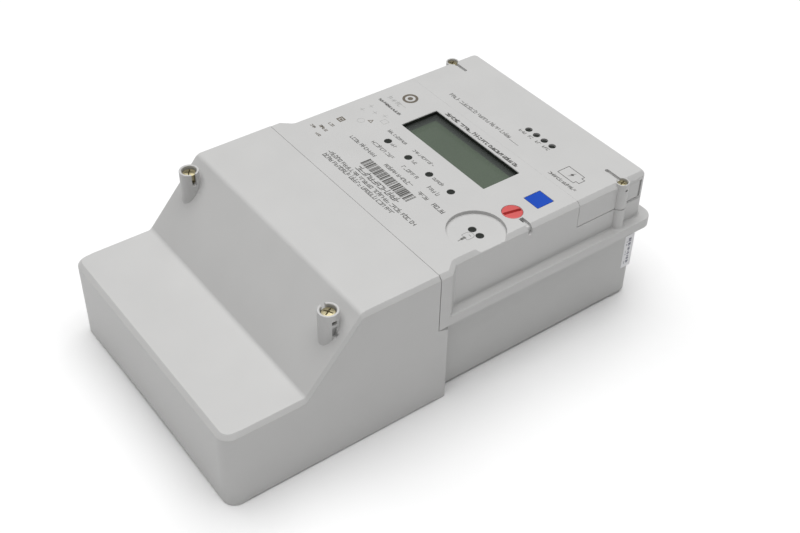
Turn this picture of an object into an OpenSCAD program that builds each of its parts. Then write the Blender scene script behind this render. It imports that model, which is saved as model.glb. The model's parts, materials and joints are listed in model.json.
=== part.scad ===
// Three-phase electricity meter for wall mounting, lying on its back.
// +X is right when reading the face, +Y is up towards the hanger, +Z comes out of the face.
// The origin is on the rear plane, in the middle of the length and the width.
// Inside the modules, stations along Y are measured from the cable end.

/* [Housing] */
// Width over the terminal cover and the flange
body_w = 170; // [166:1:176]
// Length from the cable end to the far edge of the flange
body_l = 295; // [293:1:300]
// Height of the raised face
front_h = 93; // [92:0.5:96]
// Height of the low step over the cable room
low_h = 52.5; // [50:0.5:56]
// Width of the upper walls above the flange
upper_w = 159; // [158:0.5:161]
// Width of the base below the flange
base_w = 156; // [155:0.5:157]
// Wall thickness of the mouldings
wall = 2.5; // [2.2:0.1:2.8]
// Chamfer along the upper edges
edge_c = 2.5; // [1.5:0.1:3]
// Underside of the flange
flange_z = 54.5; // [54:0.1:55]
// Top of the flange
flange_top = 61; // [60:0.1:62]

/* [Terminal cover] */
// Station where the slope starts
slope_y = 49; // [44:1:52]
// Station where the slope reaches the raised face
high_y = 84.5; // [82:0.5:88]
// Station of the seam between terminal cover and front cover
seam_y = 133.5; // [133:0.1:134]
// Station where the skirt under the flange ends
skirt_y = 141; // [140.5:0.1:142]
// Distance of the two cover screws from the middle
cover_screw_x = 71.5; // [70:0.5:72]
// Station of the two cover screws
cover_screw_y = 72; // [70.5:0.5:73]

/* [Face] */
// Left edge of the display opening
lcd_x = -39.5; // [-41:0.5:-38]
// Near edge of the display opening
lcd_y = 199.3; // [198.5:0.1:200.5]
// Width of the display opening
lcd_w = 78; // [70:0.5:80]
// Height of the display opening
lcd_h = 26.5; // [24:0.5:27]
// Middle of the optical port, from the middle of the meter
port_x = 64.5; // [64:0.1:65]
// Station of the optical port
port_y = 173; // [172:0.5:174]
// Diameter of the optical port recess
port_d = 33.4; // [32.5:0.1:34]
// Distance of the reset knob from the middle
knob_x = 63.7; // [63:0.1:64]
// Station of the reset knob
knob_y = 199.2; // [198.5:0.1:200]
// Diameter of the reset knob
knob_d = 12; // [11.6:0.1:13]
// Distance of the display button from the middle
button_x = 63.8; // [63:0.1:64.5]
// Station of the display button
button_y = 218.5; // [218:0.1:219.5]
// Side of the square display button
button_a = 11.8; // [11:0.1:12.2]
// Station of the row of pulse lamps
pulse_y = 182.4; // [181:0.1:184]
// Spacing of the pulse lamps
pulse_pitch = 20.1; // [18:0.1:21]

/* [Module cover] */
// Station where the module cover starts
module_y = 235.5; // [235:0.1:237]
// Lower edge of the module cover's side walls
module_z = 75.4; // [75:0.1:76]
// Distance of the module cover screws from the middle
column_x = 78.6; // [78:0.1:79]
// Station of the module cover screws
column_y = 269; // [267:0.5:270]
// Diameter of the screw columns
column_d = 8.4; // [8:0.1:9]
// Station of the communication lamps
comm_y = 259; // [257:0.5:261]
// Spacing of the communication lamps
comm_pitch = 7; // [6.5:0.1:7.5]

/* [Terminals] */
// Spacing of the main terminals
terminal_pitch = 14.5; // [14.3:0.1:14.8]
// Height of the cable bores above the rear plane
terminal_z = 20; // [19:0.5:21]
// Diameter of the cable bores
wire_d = 9; // [8:0.1:9.4]
// Spacing of the two lower fixing holes
fixing_pitch = 150; // [149:1:151]
// Diameter of the lower fixing holes
fixing_d = 5.5; // [5:0.1:5.8]

/* [Hidden] */
$fn = 64;
// Clearance between pieces that only sit side by side
gap = 0.2;
// Small overlap that keeps cuts clean
eps = 0.1;
// Walls and faces
far_y = body_l - 6;
base_far_y = far_y + 0.5;
base_near_y = 66;
tray_w = 163;
tray_near_y = 88;
tray_far_y = 118;
tray_top = 12;
base_bottom = 1;
base_floor = 5;
lid_z = front_h - wall;
bay_floor_z = 73.2;
bay_wall_y = module_y - gap;
lip_z = flange_z - eps;
stub_run = 6.5;
slope_run = (high_y - slope_y) / (front_h - low_h);
end_wall_y = seam_y + 2 * gap;
bulkhead_y = 137.5;
bulkhead_t = 2.5;
// Terminal block
block_w = 126;
block_y = 92;
block_z = 46;
clamp_y = 98;
clamp_l = 30;
clamp_w = 11.5;
clamp_h = 16;
clamp_z = terminal_z - 7;
clamp_screw_y = [105, 118];
clamp_screw_d = 6;
clamp_head_d = 8;
aux_pitch = 5.08;
aux_screw_y = 122;
link_z = 16;
link_t = 2;
link_w = 9;
relay_y = 170;
// Electronics
board_z = 62;
board_t = 1.6;
board_top = board_z + board_t;
board_half_w = 73;
board_y = 156;
board_l = 116;
board_screw_spots = [[-68, 164], [-68, 228], [36, 160], [68, 232]];
relay_pin_y = 206;
relay_pin_dx = 8;
// Screws that hold the base and the front cover together, from behind
case_screw_x = 68;
case_screw_y = [150, 280];
case_screw_d = 3.4;
case_head_d = 6.8;
case_head_low = 1.6;
case_head_top = 4;
case_boss_top = 50;
// Sliding hanger bracket in its pocket behind the base
hanger_w = 30;
hanger_low = 2.2;
hanger_t = 1.5;
hanger_near_y = 236;
hanger_hole_y = 281;
hanger_hole_d = 6;
pocket_near_y = 228;
pocket_mouth_w = 24.6;
// Face
port_floor_z = front_h - 2.2;
ir_dx = 3.3;
ir_window_d = 4.8;
lamp_d = 4.6;
cap_top = front_h - 0.1;
lcd_top = 87;
lcd_t = 2.4;
lcd_pin_pitch = 2.54;
comm_x = 8.4;
knob_slot_angle = 78;
knob_slot_w = 2.1;
knob_seat_z = 88.8;
knob_shaft_d = 7;
knob_groove_low = 77.6;
knob_groove_top = 78.6;
knob_groove_d = 5.8;
button_seat_z = 82.7;
plunger_x = 58;
plunger_z = 70;
plunger_d = 4;
// Columns and screws of the module cover
column_screw_d = 3;
column_head_d = 6.2;
column_head_low = 90;
column_head_top = 92;
// Blanking plate beside the right column
panel_y = 274;
panel_t = 1.2;
// Screws and posts of the terminal cover, and the slotted stands that hold the screws down
post_d = 11.6;
post_low = 45.6;
post_seat_z = 86;
cover_screw_d = 4;
cover_head_d = 8;
cover_head_top = 91.6;
cover_screw_low = 36;
stand_top = 45;
nut_w = 9;
nut_low = 33;
nut_top = 39.8;
stand_slot_w = 5.4;

function terminal_x(i) = (i - 3.5) * terminal_pitch;
function slope_y_at(z, inset) = slope_y + (z - low_h) * slope_run + inset * sqrt(1 + slope_run * slope_run);

module from_end() {
    translate([0, -body_l / 2, 0]) children();
}

// Box with its X range centred and its Y and Z ranges given from and to
module block(x_mid, width, y_from, y_to, z_from, z_to) {
    translate([x_mid - width / 2, y_from, z_from]) cube([width, y_to - y_from, z_to - z_from]);
}

// Square block around one spot
module square_block(x, y, side, z_from, z_to) {
    block(x, side, y - side / 2, y + side / 2, z_from, z_to);
}

module peg(x, y, z_from, z_to, d) {
    translate([x, y, z_from]) cylinder(h = z_to - z_from, d = d);
}

module peg_along_y(x, z, y_from, y_to, d) {
    translate([x, y_to, z]) rotate([90, 0, 0]) cylinder(h = y_to - y_from, d = d);
}

module along_y(y_from, y_to) {
    translate([0, y_to, 0]) rotate([90, 0, 0]) linear_extrude(y_to - y_from) children();
}

module along_x(width) {
    rotate([90, 0, 90]) linear_extrude(width, center = true) children();
}

// Flat outline of width w with its own corner radius at either end
module plan(w, y_near, y_far, r_near, r_far) {
    translate([-w / 2, y_near + r_near]) square([w, y_far - y_near - r_near - r_far]);
    if (r_near > 0) plan_end(w, y_near, r_near, 1);
    if (r_far > 0) plan_end(w, y_far, r_far, -1);
}

module plan_end(w, y_edge, r, way) {
    translate([-w / 2 + r, way > 0 ? y_edge : y_edge - r]) square([w - 2 * r, r]);
    for (side = [-1, 1]) translate([side * (w / 2 - r), y_edge + way * r]) circle(r);
}

// Cross-section with chamfered upper corners
module roofed_section(w, h, c) {
    polygon([[-w / 2, 0], [-w / 2, h - c], [-w / 2 + c, h], [w / 2 - c, h], [w / 2, h - c], [w / 2, 0]]);
}

module slab(z_from, z_to) {
    translate([0, 0, z_from]) linear_extrude(z_to - z_from) children();
}

// Cross-shaped screwdriver recess
module cross_recess(x, y, z_top, size, depth) {
    for (turn = [45, 135]) {
        translate([x, y, z_top - depth / 2]) rotate([0, 0, turn])
            cube([size, size / 4, depth + eps], center = true);
    }
}

// ---------- Base ----------

module base_shell() {
    slab(base_bottom, lip_z) plan(base_w, base_near_y, base_far_y, 3, 5);
    slab(base_bottom, tray_top) plan(tray_w, tray_near_y, tray_far_y, 3, 3);
}

module base_hollows() {
    inner_w = base_w - 2 * wall;
    slab(base_floor, front_h) plan(inner_w, bulkhead_y + bulkhead_t, base_far_y - wall, 2, 3);
    slab(base_floor, front_h) plan(inner_w, base_near_y + wall, bulkhead_y, 1, 1);
    block(0, body_w, base_near_y - eps, bulkhead_y, tray_top, front_h);
    block(0, block_w + 2 * gap, bulkhead_y - eps, bulkhead_y + bulkhead_t + eps, base_floor, front_h);
}

module gasket_ring(width, z_from, z_to) {
    slab(z_from, z_to) difference() {
        plan(base_w - 2, bulkhead_y + 1, base_far_y - 1, 2, 4);
        plan(base_w - 2 - 2 * width, bulkhead_y + 1 + width, base_far_y - 1 - width, 1, 3);
    }
}

module hanger_pocket() {
    hanger_top = hanger_low + hanger_t;
    block(0, pocket_mouth_w, pocket_near_y, base_far_y + eps, base_bottom - eps, hanger_low);
    block(0, hanger_w + 3 * gap, pocket_near_y, base_far_y + eps, hanger_low - gap, hanger_top + gap);
}

// Stand for one terminal cover screw, open towards the cable end so that nut and screw slide in
module nut_stand(side) {
    block(side * cover_screw_x, nut_w + 4, base_near_y, cover_screw_y + 8, base_floor - eps, stand_top);
}

module nut_stand_cuts(side) {
    x = side * cover_screw_x;
    channel_far_y = cover_screw_y + nut_w / 2 + gap;
    block(x, nut_w + 2 * gap, base_near_y - eps, channel_far_y, nut_low - gap, nut_top + gap);
    block(x, stand_slot_w, base_near_y - eps, cover_screw_y, nut_top, stand_top + eps);
    peg(x, cover_screw_y, nut_top, stand_top + eps, stand_slot_w);
}

module base_case() {
    color("gainsboro") from_end() {
        difference() {
            union() {
                difference() {
                    base_shell();
                    base_hollows();
                }
                for (side = [-1, 1]) {
                    for (y = case_screw_y) peg(side * case_screw_x, y, base_floor - eps, case_boss_top, 9);
                    nut_stand(side);
                    block(side * (base_w / 2 - 9), 18, 275, base_far_y - 5, 0, base_bottom + eps);
                    block(side * 60, 20, base_near_y + 2, base_near_y + 12, 0, base_bottom + eps);
                }
            }
            gasket_ring(1.6, flange_z - 1.6, flange_z + eps);
            block(0, block_w + 2 * gap, bulkhead_y, bulkhead_y + 4, flange_z - 2, flange_z + eps);
            hanger_pocket();
            for (side = [-1, 1]) {
                for (y = case_screw_y) {
                    peg(side * case_screw_x, y, base_bottom - eps, case_boss_top + eps, case_screw_d + 0.3);
                    peg(side * case_screw_x, y, base_bottom - eps, case_head_top, case_head_d + 3 * gap);
                }
                nut_stand_cuts(side);
                peg(side * fixing_pitch / 2, 104, base_bottom - eps, tray_top + eps, fixing_d);
                block(side * fixing_pitch / 2, 9.5, 98, 110, base_floor, tray_top + eps);
            }
        }
    }
}

module case_gasket() {
    color("dimgray") from_end() difference() {
        gasket_ring(1.4, flange_z - 1.5, flange_z);
        block(0, block_w + 4 * gap, bulkhead_y, bulkhead_y + 5, flange_z - 2, flange_z + eps);
    }
}

module case_screws() {
    color("silver") from_end() for (side = [-1, 1], y = case_screw_y) {
        difference() {
            union() {
                peg(side * case_screw_x, y, case_head_low, case_head_top, case_head_d);
                peg(side * case_screw_x, y, case_head_top - eps, 66, case_screw_d);
            }
            cross_recess(side * case_screw_x, y, 3, 3.6, 3);
        }
    }
}

module cover_screw_nuts() {
    color("goldenrod") from_end() for (side = [-1, 1]) {
        x = side * cover_screw_x;
        difference() {
            square_block(x, cover_screw_y, nut_w, nut_low, nut_top);
            peg(x, cover_screw_y, nut_low - eps, nut_top + eps, cover_screw_d + 0.1);
        }
    }
}

module hanger_bracket() {
    hanger_top = hanger_low + hanger_t;
    color("silver") from_end() difference() {
        union() {
            block(0, hanger_w, hanger_near_y, hanger_hole_y - 7, hanger_low, hanger_top);
            slab(hanger_low, hanger_top) plan(hanger_w, hanger_hole_y - 11, base_far_y - 1, 0, 9);
        }
        peg(0, hanger_hole_y, hanger_low - 1, hanger_top + 1, hanger_hole_d);
        for (y = [244, 258]) block(0, 16, y, y + 4, hanger_low - 1, hanger_top + 1);
    }
}

module barcode_sticker() {
    color("whitesmoke") from_end() translate([base_w / 2, 281, 21]) cube([gap, 7.5, 25]);
}

// ---------- Front cover ----------

module upper_envelope() {
    intersection() {
        slab(flange_z, front_h) plan(upper_w, seam_y + gap, far_y, 0, 5);
        along_y(seam_y, far_y + 1) roofed_section(upper_w, front_h, edge_c);
        along_x(body_w) polygon([
            [seam_y, 0], [seam_y, front_h], [far_y - edge_c, front_h], [far_y, front_h - edge_c], [far_y, 0]
        ]);
    }
}

// One slanted side of the stub, which brings it in from the width of the body to the upper walls
module stub_side(side) {
    angle = side * atan((body_w - upper_w) / 2 / stub_run);
    inward = -side * 2 * body_w;
    translate([side * body_w / 2, skirt_y, 0]) rotate([0, 0, angle]) along_y(-body_w, body_w) polygon([
        [inward, 0], [0, 0], [0, front_h - edge_c], [-side * edge_c, front_h], [inward, front_h]
    ]);
}

module stub_and_flange() {
    stub_far_y = skirt_y + stub_run + 1;
    intersection() {
        slab(flange_z, front_h) plan(body_w, seam_y + gap, stub_far_y, 0, 0);
        along_y(seam_y, stub_far_y) roofed_section(body_w, front_h, edge_c);
        stub_side(-1);
        stub_side(1);
    }
    slab(flange_z, flange_top) plan(body_w, skirt_y - 1, body_l, 0, 8);
}

module front_hollows() {
    inner_w = upper_w - 2 * wall;
    block(0, inner_w, end_wall_y + wall, bay_wall_y - wall, 57, lid_z);
    block(0, inner_w, skirt_y, bay_wall_y, flange_z - eps, 58);
    block(0, inner_w, bay_wall_y - wall - 1, far_y - wall, flange_z - eps, bay_floor_z - 2.2);
    slab(bay_floor_z, front_h + 1) plan(inner_w, bay_wall_y, far_y - wall, 0, 3);
    block(0, body_w + 2, bay_wall_y, body_l, module_z - gap, front_h + 1);
}

// The upper and lower halves of the two screw columns differ only in their height
module screw_column(side, z_from, z_to) {
    peg(side * column_x, column_y, z_from, z_to, column_d);
}

module lcd_opening() {
    translate([lcd_x, lcd_y, lid_z - 4]) cube([lcd_w, lcd_h, 8]);
}

module knob_boss_cut() {
    peg(knob_x, knob_y, knob_seat_z, front_h + eps, knob_d + 3 * gap);
    peg(knob_x, knob_y, 78, knob_seat_z + gap, knob_shaft_d + 0.12);
}

// Channel for the seal wire, from the knob over the edge and down the side wall
module seal_channel() {
    channel_w = 3;
    channel_near_x = knob_x + knob_d / 2 + 1;
    wall_part_x = upper_w / 2 - 1.6;
    low_end = 88.4;
    translate([channel_near_x, knob_y - channel_w / 2, front_h - 1.7])
        cube([upper_w / 2 - knob_x, channel_w, 3]);
    translate([wall_part_x, knob_y - channel_w / 2, low_end]) cube([3, channel_w, 6]);
    translate([wall_part_x, knob_y, low_end]) rotate([0, 90, 0]) cylinder(h = 3, d = channel_w);
}

module front_bosses() {
    peg(knob_x, knob_y, 79, lid_z + eps, knob_d + 4.4);
    peg(port_x - 3, port_y, 88.6, lid_z + 1, port_d - 1);
    square_block(button_x, button_y, button_a + 4, 84, lid_z + eps);
    for (side = [-1, 1]) {
        peg(side * case_screw_x, case_screw_y[0], 50.2, lid_z + eps, 8);
        peg(side * case_screw_x, case_screw_y[1], 50.2, bay_floor_z - 1, 8);
        screw_column(side, flange_top - 1, module_z - gap);
    }
    for (spot = board_screw_spots) peg(spot[0], spot[1], board_top + gap, lid_z + eps, 7);
}

module front_cover() {
    color("gainsboro") from_end() difference() {
        union() {
            difference() {
                union() {
                    upper_envelope();
                    stub_and_flange();
                }
                front_hollows();
            }
            front_bosses();
        }
        lcd_opening();
        peg(port_x, port_y, port_floor_z, front_h + eps, port_d);
        for (side = [-1, 1]) peg(port_x + side * ir_dx, port_y, 84, front_h, ir_window_d + 0.1);
        knob_boss_cut();
        seal_channel();
        square_block(button_x, button_y, button_a + 2 * gap, 83, front_h + 1);
        for (i = [0:3]) peg((i - 1.5) * pulse_pitch, pulse_y, lid_z - 1, front_h + eps, lamp_d + gap);
        for (side = [-1, 1]) {
            for (y = case_screw_y) peg(side * case_screw_x, y, 50, 67, case_screw_d + 0.04);
            peg(side * column_x, column_y, 65, module_z, column_screw_d + 0.1);
        }
        for (spot = board_screw_spots) peg(spot[0], spot[1], board_top, board_top + 9, 2.54);
        peg_along_y(plunger_x, plunger_z, seam_y, end_wall_y + wall + eps, plunger_d + 0.12);
        block(-5, 34, 243, 250, bay_floor_z - 3, bay_floor_z + eps);
    }
}

// ---------- Display ----------

module lcd_window() {
    color([0.8, 0.85, 0.82, 0.35]) from_end()
        translate([lcd_x - 3, lcd_y - 3, lid_z - 1.5]) cube([lcd_w + 6, 34, 1.5]);
}

module lcd_panel() {
    color("darkseagreen") from_end()
        translate([lcd_x - 2, lcd_y - 3, lcd_top - lcd_t]) cube([lcd_w + 4, 31.5, lcd_t]);
}

module lcd_pins() {
    color("silver") from_end() for (i = [-14:14]) {
        x = lcd_x + lcd_w / 2 + i * lcd_pin_pitch;
        block(x, 0.6, lcd_y + 29.2, lcd_y + 29.8, board_top, lcd_top + 0.4);
        block(x, 0.6, lcd_y + 28.5, lcd_y + 29.8, lcd_top, lcd_top + 0.4);
    }
}

module lcd_holder() {
    mid_x = lcd_x + lcd_w / 2;
    color("white") from_end() {
        difference() {
            block(mid_x, lcd_w + 8, lcd_y - 5, lcd_y + 33, lcd_top - 8, lcd_top - 1.4);
            block(mid_x, lcd_w + 4.2, lcd_y - 3.1, lcd_y + 30.4, lcd_top - lcd_t, lcd_top);
            for (i = [-14:14]) {
                block(mid_x + i * lcd_pin_pitch, 0.9, lcd_y + 29, lcd_y + 30, lcd_top - 9, lcd_top);
            }
        }
        for (side = [-1, 1], y = [lcd_y - 2, lcd_y + 30]) {
            peg(mid_x + side * (lcd_w / 2 + 1), y, board_top, lcd_top - 7.9, 3.6);
        }
    }
}

// ---------- Display button ----------

module display_button() {
    color("royalblue") from_end() {
        square_block(button_x, button_y, button_a, button_seat_z - eps, cap_top);
        square_block(button_x, button_y, button_a + 2.6, 81, button_seat_z);
        peg(button_x, button_y, 73.4, 81.1, 6);
    }
}

module button_plunger() {
    color("black") from_end() peg(button_x, button_y, 67.4, 73.4, 3.4);
}

module button_switch() {
    color("dimgray") from_end() difference() {
        square_block(button_x, button_y, 8, board_top, 69.4);
        peg(button_x, button_y, 65.4, 69.5, 3.7);
    }
}

// ---------- Reset knob ----------

module reset_knob() {
    slot_l = knob_d - 1;
    color("crimson") from_end() difference() {
        union() {
            peg(knob_x, knob_y, knob_seat_z + gap, cap_top, knob_d);
            peg(knob_x, knob_y, 70, knob_seat_z + gap + eps, knob_shaft_d);
            peg(knob_x + 1.2, knob_y, 69, 73, 7.2);
        }
        translate([knob_x, knob_y, front_h]) rotate([0, 0, knob_slot_angle])
            cube([slot_l, knob_slot_w, 2.6], center = true);
        difference() {
            peg(knob_x, knob_y, knob_groove_low, knob_groove_top, knob_shaft_d + 1);
            peg(knob_x, knob_y, knob_groove_low - eps, knob_groove_top + eps, knob_groove_d);
        }
    }
}

module knob_clip() {
    color("silver") from_end() difference() {
        peg(knob_x, knob_y, knob_groove_low + eps, knob_groove_top - eps, 11);
        peg(knob_x, knob_y, knob_groove_low, knob_groove_top, knob_groove_d + 0.02);
        block(knob_x - 4, 8, knob_y - 2, knob_y + 2, knob_groove_low, knob_groove_top);
    }
}

module reset_switch() {
    color("dimgray") from_end() {
        block(knob_x - 0.5, 12, knob_y + 5.6, knob_y + 10, board_top, 72.6);
        block(knob_x - 0.5, 9, knob_y + 5, knob_y + 5.7, board_top + 3, 71.5);
    }
}

// ---------- Optical port and lamps ----------

module optical_magnet_plate() {
    color("silver") from_end() difference() {
        peg(port_x - 1, port_y, 87.2, 88.6, 26);
        peg(port_x, port_y, 87, 89, 13);
    }
}

module ir_window(side) {
    color([0.12, 0.1, 0.12]) from_end() {
        peg(port_x + side * ir_dx, port_y, 84.5, port_floor_z - gap, ir_window_d);
        peg(port_x + side * ir_dx, port_y, board_top, 84.6, ir_window_d - 0.6);
    }
}

module pulse_lamp_lens(i) {
    x = (i - 2.5) * pulse_pitch;
    color([0.25, 0.28, 0.25]) from_end() {
        peg(x, pulse_y, 85, front_h - 0.2, lamp_d);
        peg(x, pulse_y, 84, 85.1, lamp_d + 1.6);
        peg(x, pulse_y, board_top, 84.1, lamp_d - 1);
    }
}

// ---------- Module cover ----------

module module_cover_hollows() {
    slab(module_z - 1, lid_z) plan(upper_w - 2 * wall, module_y - 1, far_y - wall, 0, 3);
    for (i = [0:3]) peg(comm_x + i * comm_pitch, comm_y, lid_z - 1, front_h + 1, lamp_d);
}

module column_cuts(side) {
    peg(side * column_x, column_y, column_head_low, front_h + eps, column_head_d + 2 * gap);
    peg(side * column_x, column_y, module_z - 1, column_head_low + 1, column_screw_d + 0.3);
    groove_mid = side * (column_x - 8);
    groove_w = 2.4;
    groove_low = front_h - 1.8;
    block(groove_mid, 10, column_y - groove_w / 2, column_y + groove_w / 2, groove_low, front_h + 1);
    peg(side * (column_x - 13), column_y, groove_low, front_h + 1, groove_w);
    translate([side * (column_x + 2), column_y, 88.8]) rotate([0, 90, 0])
        cylinder(h = 6, d = 1.8, center = true);
}

module module_cover() {
    color("gainsboro") from_end() difference() {
        union() {
            difference() {
                intersection() {
                    upper_envelope();
                    block(0, body_w, module_y, body_l, module_z, front_h + 1);
                }
                module_cover_hollows();
            }
            for (side = [-1, 1]) screw_column(side, module_z, front_h);
        }
        for (side = [-1, 1]) column_cuts(side);
        translate([upper_w / 2 - panel_t, panel_y, 76.2]) cube([3, 10.6, 12.4]);
        translate([upper_w / 2 - wall - 1, panel_y + 2, 78.2]) cube([5, 5.8, 8.4]);
    }
}

module side_blanking_plate() {
    color("gainsboro") from_end() {
        translate([upper_w / 2 - panel_t, panel_y + 0.1, 76.7]) cube([panel_t, 8.8, 11.8]);
        translate([upper_w / 2 - wall, panel_y + 2.2, 78.4]) cube([wall - panel_t + 0.1, 5.4, 8]);
    }
}

module comm_light_guide() {
    color([0.3, 0.33, 0.3]) from_end() {
        for (i = [0:3]) peg(comm_x + i * comm_pitch, comm_y, 89, front_h - 0.5, lamp_d - gap);
        block(comm_x + 1.5 * comm_pitch, 30, comm_y - 4, comm_y + 4, 88.6, lid_z - 0.2);
    }
}

module module_cover_screw(side) {
    color("darkkhaki") from_end() difference() {
        union() {
            peg(side * column_x, column_y, column_head_low, column_head_top, column_head_d);
            peg(side * column_x, column_y, 66, column_head_low + eps, column_screw_d);
        }
        cross_recess(side * column_x, column_y, column_head_top, 3.4, 1.4);
    }
}

// ---------- Terminal cover ----------

module cover_outside() {
    lip = flange_z - gap;
    intersection() {
        slab(0, front_h) plan(body_w, 0, skirt_y, 8, 0);
        along_x(body_w) polygon([
            [0, 0], [0, low_h - edge_c], [edge_c, low_h], [slope_y, low_h], [high_y, front_h],
            [seam_y, front_h], [seam_y, lip], [skirt_y, lip], [skirt_y, 0]
        ]);
        union() {
            along_y(0, slope_y) roofed_section(body_w, low_h, edge_c);
            along_y(slope_y, skirt_y) roofed_section(body_w, front_h, edge_c);
        }
    }
}

module cover_hollow() {
    inner_w = body_w - 2 * wall;
    low_top = low_h - wall;
    intersection() {
        slab(-1, lid_z) plan(inner_w, wall, skirt_y + 1, 5.5, 0);
        along_x(inner_w) polygon([
            [wall, -1], [wall, low_top], [slope_y_at(low_top, wall), low_top],
            [slope_y_at(lid_z, wall), lid_z], [skirt_y + 1, lid_z], [skirt_y + 1, -1]
        ]);
    }
}

// Shallow arch along the lower edge of the end wall
module end_arch() {
    span = 150;
    rise = 3.5;
    r = (span * span / 4 + rise * rise) / (2 * rise);
    translate([0, wall / 2, rise - r]) rotate([90, 0, 0])
        cylinder(h = wall + 2, r = r, center = true, $fn = 720);
}

// Thin places in the end wall that are broken out for the cables
module knock_outs() {
    skin = 0.8;
    for (i = [-2:2]) {
        peg_along_y(i * 29, 14, skin, wall + eps, 22);
        block(i * 29, 22, skin, wall + eps, 6, 14);
    }
}

module cover_post(side) {
    x = side * cover_screw_x;
    peg(x, cover_screw_y, post_low, front_h, post_d);
}

module cover_post_cuts(side) {
    x = side * cover_screw_x;
    y = cover_screw_y;
    peg(x, y, post_seat_z, front_h + eps, cover_head_d + 4 * gap);
    peg(x, y, post_low - 1, post_seat_z + 1, cover_screw_d + 3 * gap);
    notch_x = x - side * 5;
    notch_w = 2.8;
    notch_z = post_seat_z + 0.4;
    block(notch_x, 6, y - notch_w / 2, y + notch_w / 2, notch_z, front_h + 1);
    translate([notch_x, y, notch_z]) rotate([0, 90, 0]) cylinder(h = 6, d = notch_w, center = true);
    block(x + side * 5.4, 3.4, y - 1.5, y + 1.5, 78, 85);
    block(x + side * 5.4, 3.4, y - 1.5, y + 1.5, 86.4, 89);
}

module terminal_cover() {
    color("gainsboro") from_end() difference() {
        union() {
            difference() {
                cover_outside();
                cover_hollow();
            }
            for (side = [-1, 1]) cover_post(side);
            block(plunger_x, 12, 128.8, 131.2, plunger_z - 8, lid_z + eps);
            for (x = [-28, 28]) block(x, 1.8, 96, 130, 80, lid_z + eps);
        }
        for (side = [-1, 1]) {
            cover_post_cuts(side);
            block(side * body_w / 2, 4 * wall, 12, 134, -1, 0.8);
        }
        end_arch();
        knock_outs();
    }
}

module terminal_cover_screw(side) {
    x = side * cover_screw_x;
    color("darkkhaki") from_end() difference() {
        union() {
            peg(x, cover_screw_y, post_seat_z + eps, cover_head_top, cover_head_d);
            peg(x, cover_screw_y, cover_screw_low, post_seat_z + 2 * eps, cover_screw_d);
        }
        cross_recess(x, cover_screw_y, cover_head_top, 4.6, 1.6);
        translate([x, cover_screw_y, 87.4]) rotate([0, 90, 0]) cylinder(h = 10, d = 1.4, center = true);
    }
}

module terminal_cover_plunger() {
    color("white") from_end() {
        peg_along_y(plunger_x, plunger_z, 131.5, 149, plunger_d);
        peg_along_y(plunger_x, plunger_z, 138.8, 140.4, plunger_d + 3);
    }
}

// ---------- Terminals ----------

module terminal_block() {
    color([0.2, 0.2, 0.21]) from_end() difference() {
        union() {
            block(0, block_w, block_y, bulkhead_y, base_floor, block_z);
            block(0, block_w, bulkhead_y - 1, bulkhead_y + bulkhead_t, base_floor, flange_z - gap);
        }
        for (i = [0:7]) {
            x = terminal_x(i);
            pocket_top = clamp_z + clamp_h + gap;
            block(x, clamp_w + gap, clamp_y - gap, clamp_y + clamp_l + 1, base_floor - 1, pocket_top);
            peg_along_y(x, terminal_z, block_y - 1, clamp_y, wire_d + 1);
            for (y = clamp_screw_y) peg(x, y, clamp_z + clamp_h, block_z + eps, clamp_head_d + 3 * gap);
            block(x, link_w + gap, clamp_y + clamp_l, bulkhead_y + 5, link_z - 0.1, link_z + link_t + 0.1);
        }
        for (i = [0:6]) block(terminal_x(i + 0.5), 1.2, block_y - 1, block_y + 12, 30, block_z + 1);
    }
}

module terminal_clamps() {
    color("goldenrod") from_end() for (i = [0:7]) difference() {
        block(terminal_x(i), clamp_w, clamp_y, clamp_y + clamp_l, clamp_z, clamp_z + clamp_h);
        peg_along_y(terminal_x(i), terminal_z, clamp_y - 1, clamp_y + clamp_l - 3, wire_d);
        for (y = clamp_screw_y) {
            peg(terminal_x(i), y, terminal_z + 3, clamp_z + clamp_h + 1, clamp_screw_d + 0.04);
        }
    }
}

module terminal_screws() {
    color("silver") from_end() for (i = [0:7], y = clamp_screw_y) difference() {
        union() {
            peg(terminal_x(i), y, terminal_z + 5, 38, clamp_screw_d);
            peg(terminal_x(i), y, 34, 38, clamp_head_d);
        }
        block(terminal_x(i), 9, y - 0.6, y + 0.6, 36.6, 39);
    }
}

module aux_terminal_block() {
    color("seagreen") from_end() difference() {
        union() {
            block(0, 52, 112, 130, block_z, 58);
            block(0, 52, 110, 114, block_z, 54);
        }
        for (i = [0:9]) {
            x = (i - 4.5) * aux_pitch;
            block(x, 3.4, 109, 120, 47.6, 51.6);
            peg(x, aux_screw_y, 52, 59, 3.9);
        }
    }
}

module aux_terminal_screws() {
    color("silver") from_end() for (i = [0:9]) difference() {
        peg((i - 4.5) * aux_pitch, aux_screw_y, 52, 57, 3.6);
        block((i - 4.5) * aux_pitch, 4, aux_screw_y - 0.3, aux_screw_y + 0.3, 56.2, 58);
    }
}

// Copper bars from the clamps through the bulkhead to the load relays
module link_bar(i, y_to) {
    block(terminal_x(i), link_w, clamp_y + clamp_l, y_to, link_z, link_z + link_t);
}

module phase_link(i) {
    color("peru") from_end() link_bar(i - 1, relay_y);
}

module neutral_link() {
    color("peru") from_end() {
        link_bar(6, 162);
        link_bar(7, 162);
        block((terminal_x(6) + terminal_x(7)) / 2, terminal_pitch, 153, 162, link_z, link_z + link_t);
    }
}

// ---------- Electronics ----------

module current_transformer(i) {
    x = terminal_x(2 * (i - 1));
    z = link_z + link_t / 2;
    color("steelblue") from_end() difference() {
        peg_along_y(x, z, 148, 158, 18.4);
        peg_along_y(x, z, 147, 159, 12.4);
    }
}

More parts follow.
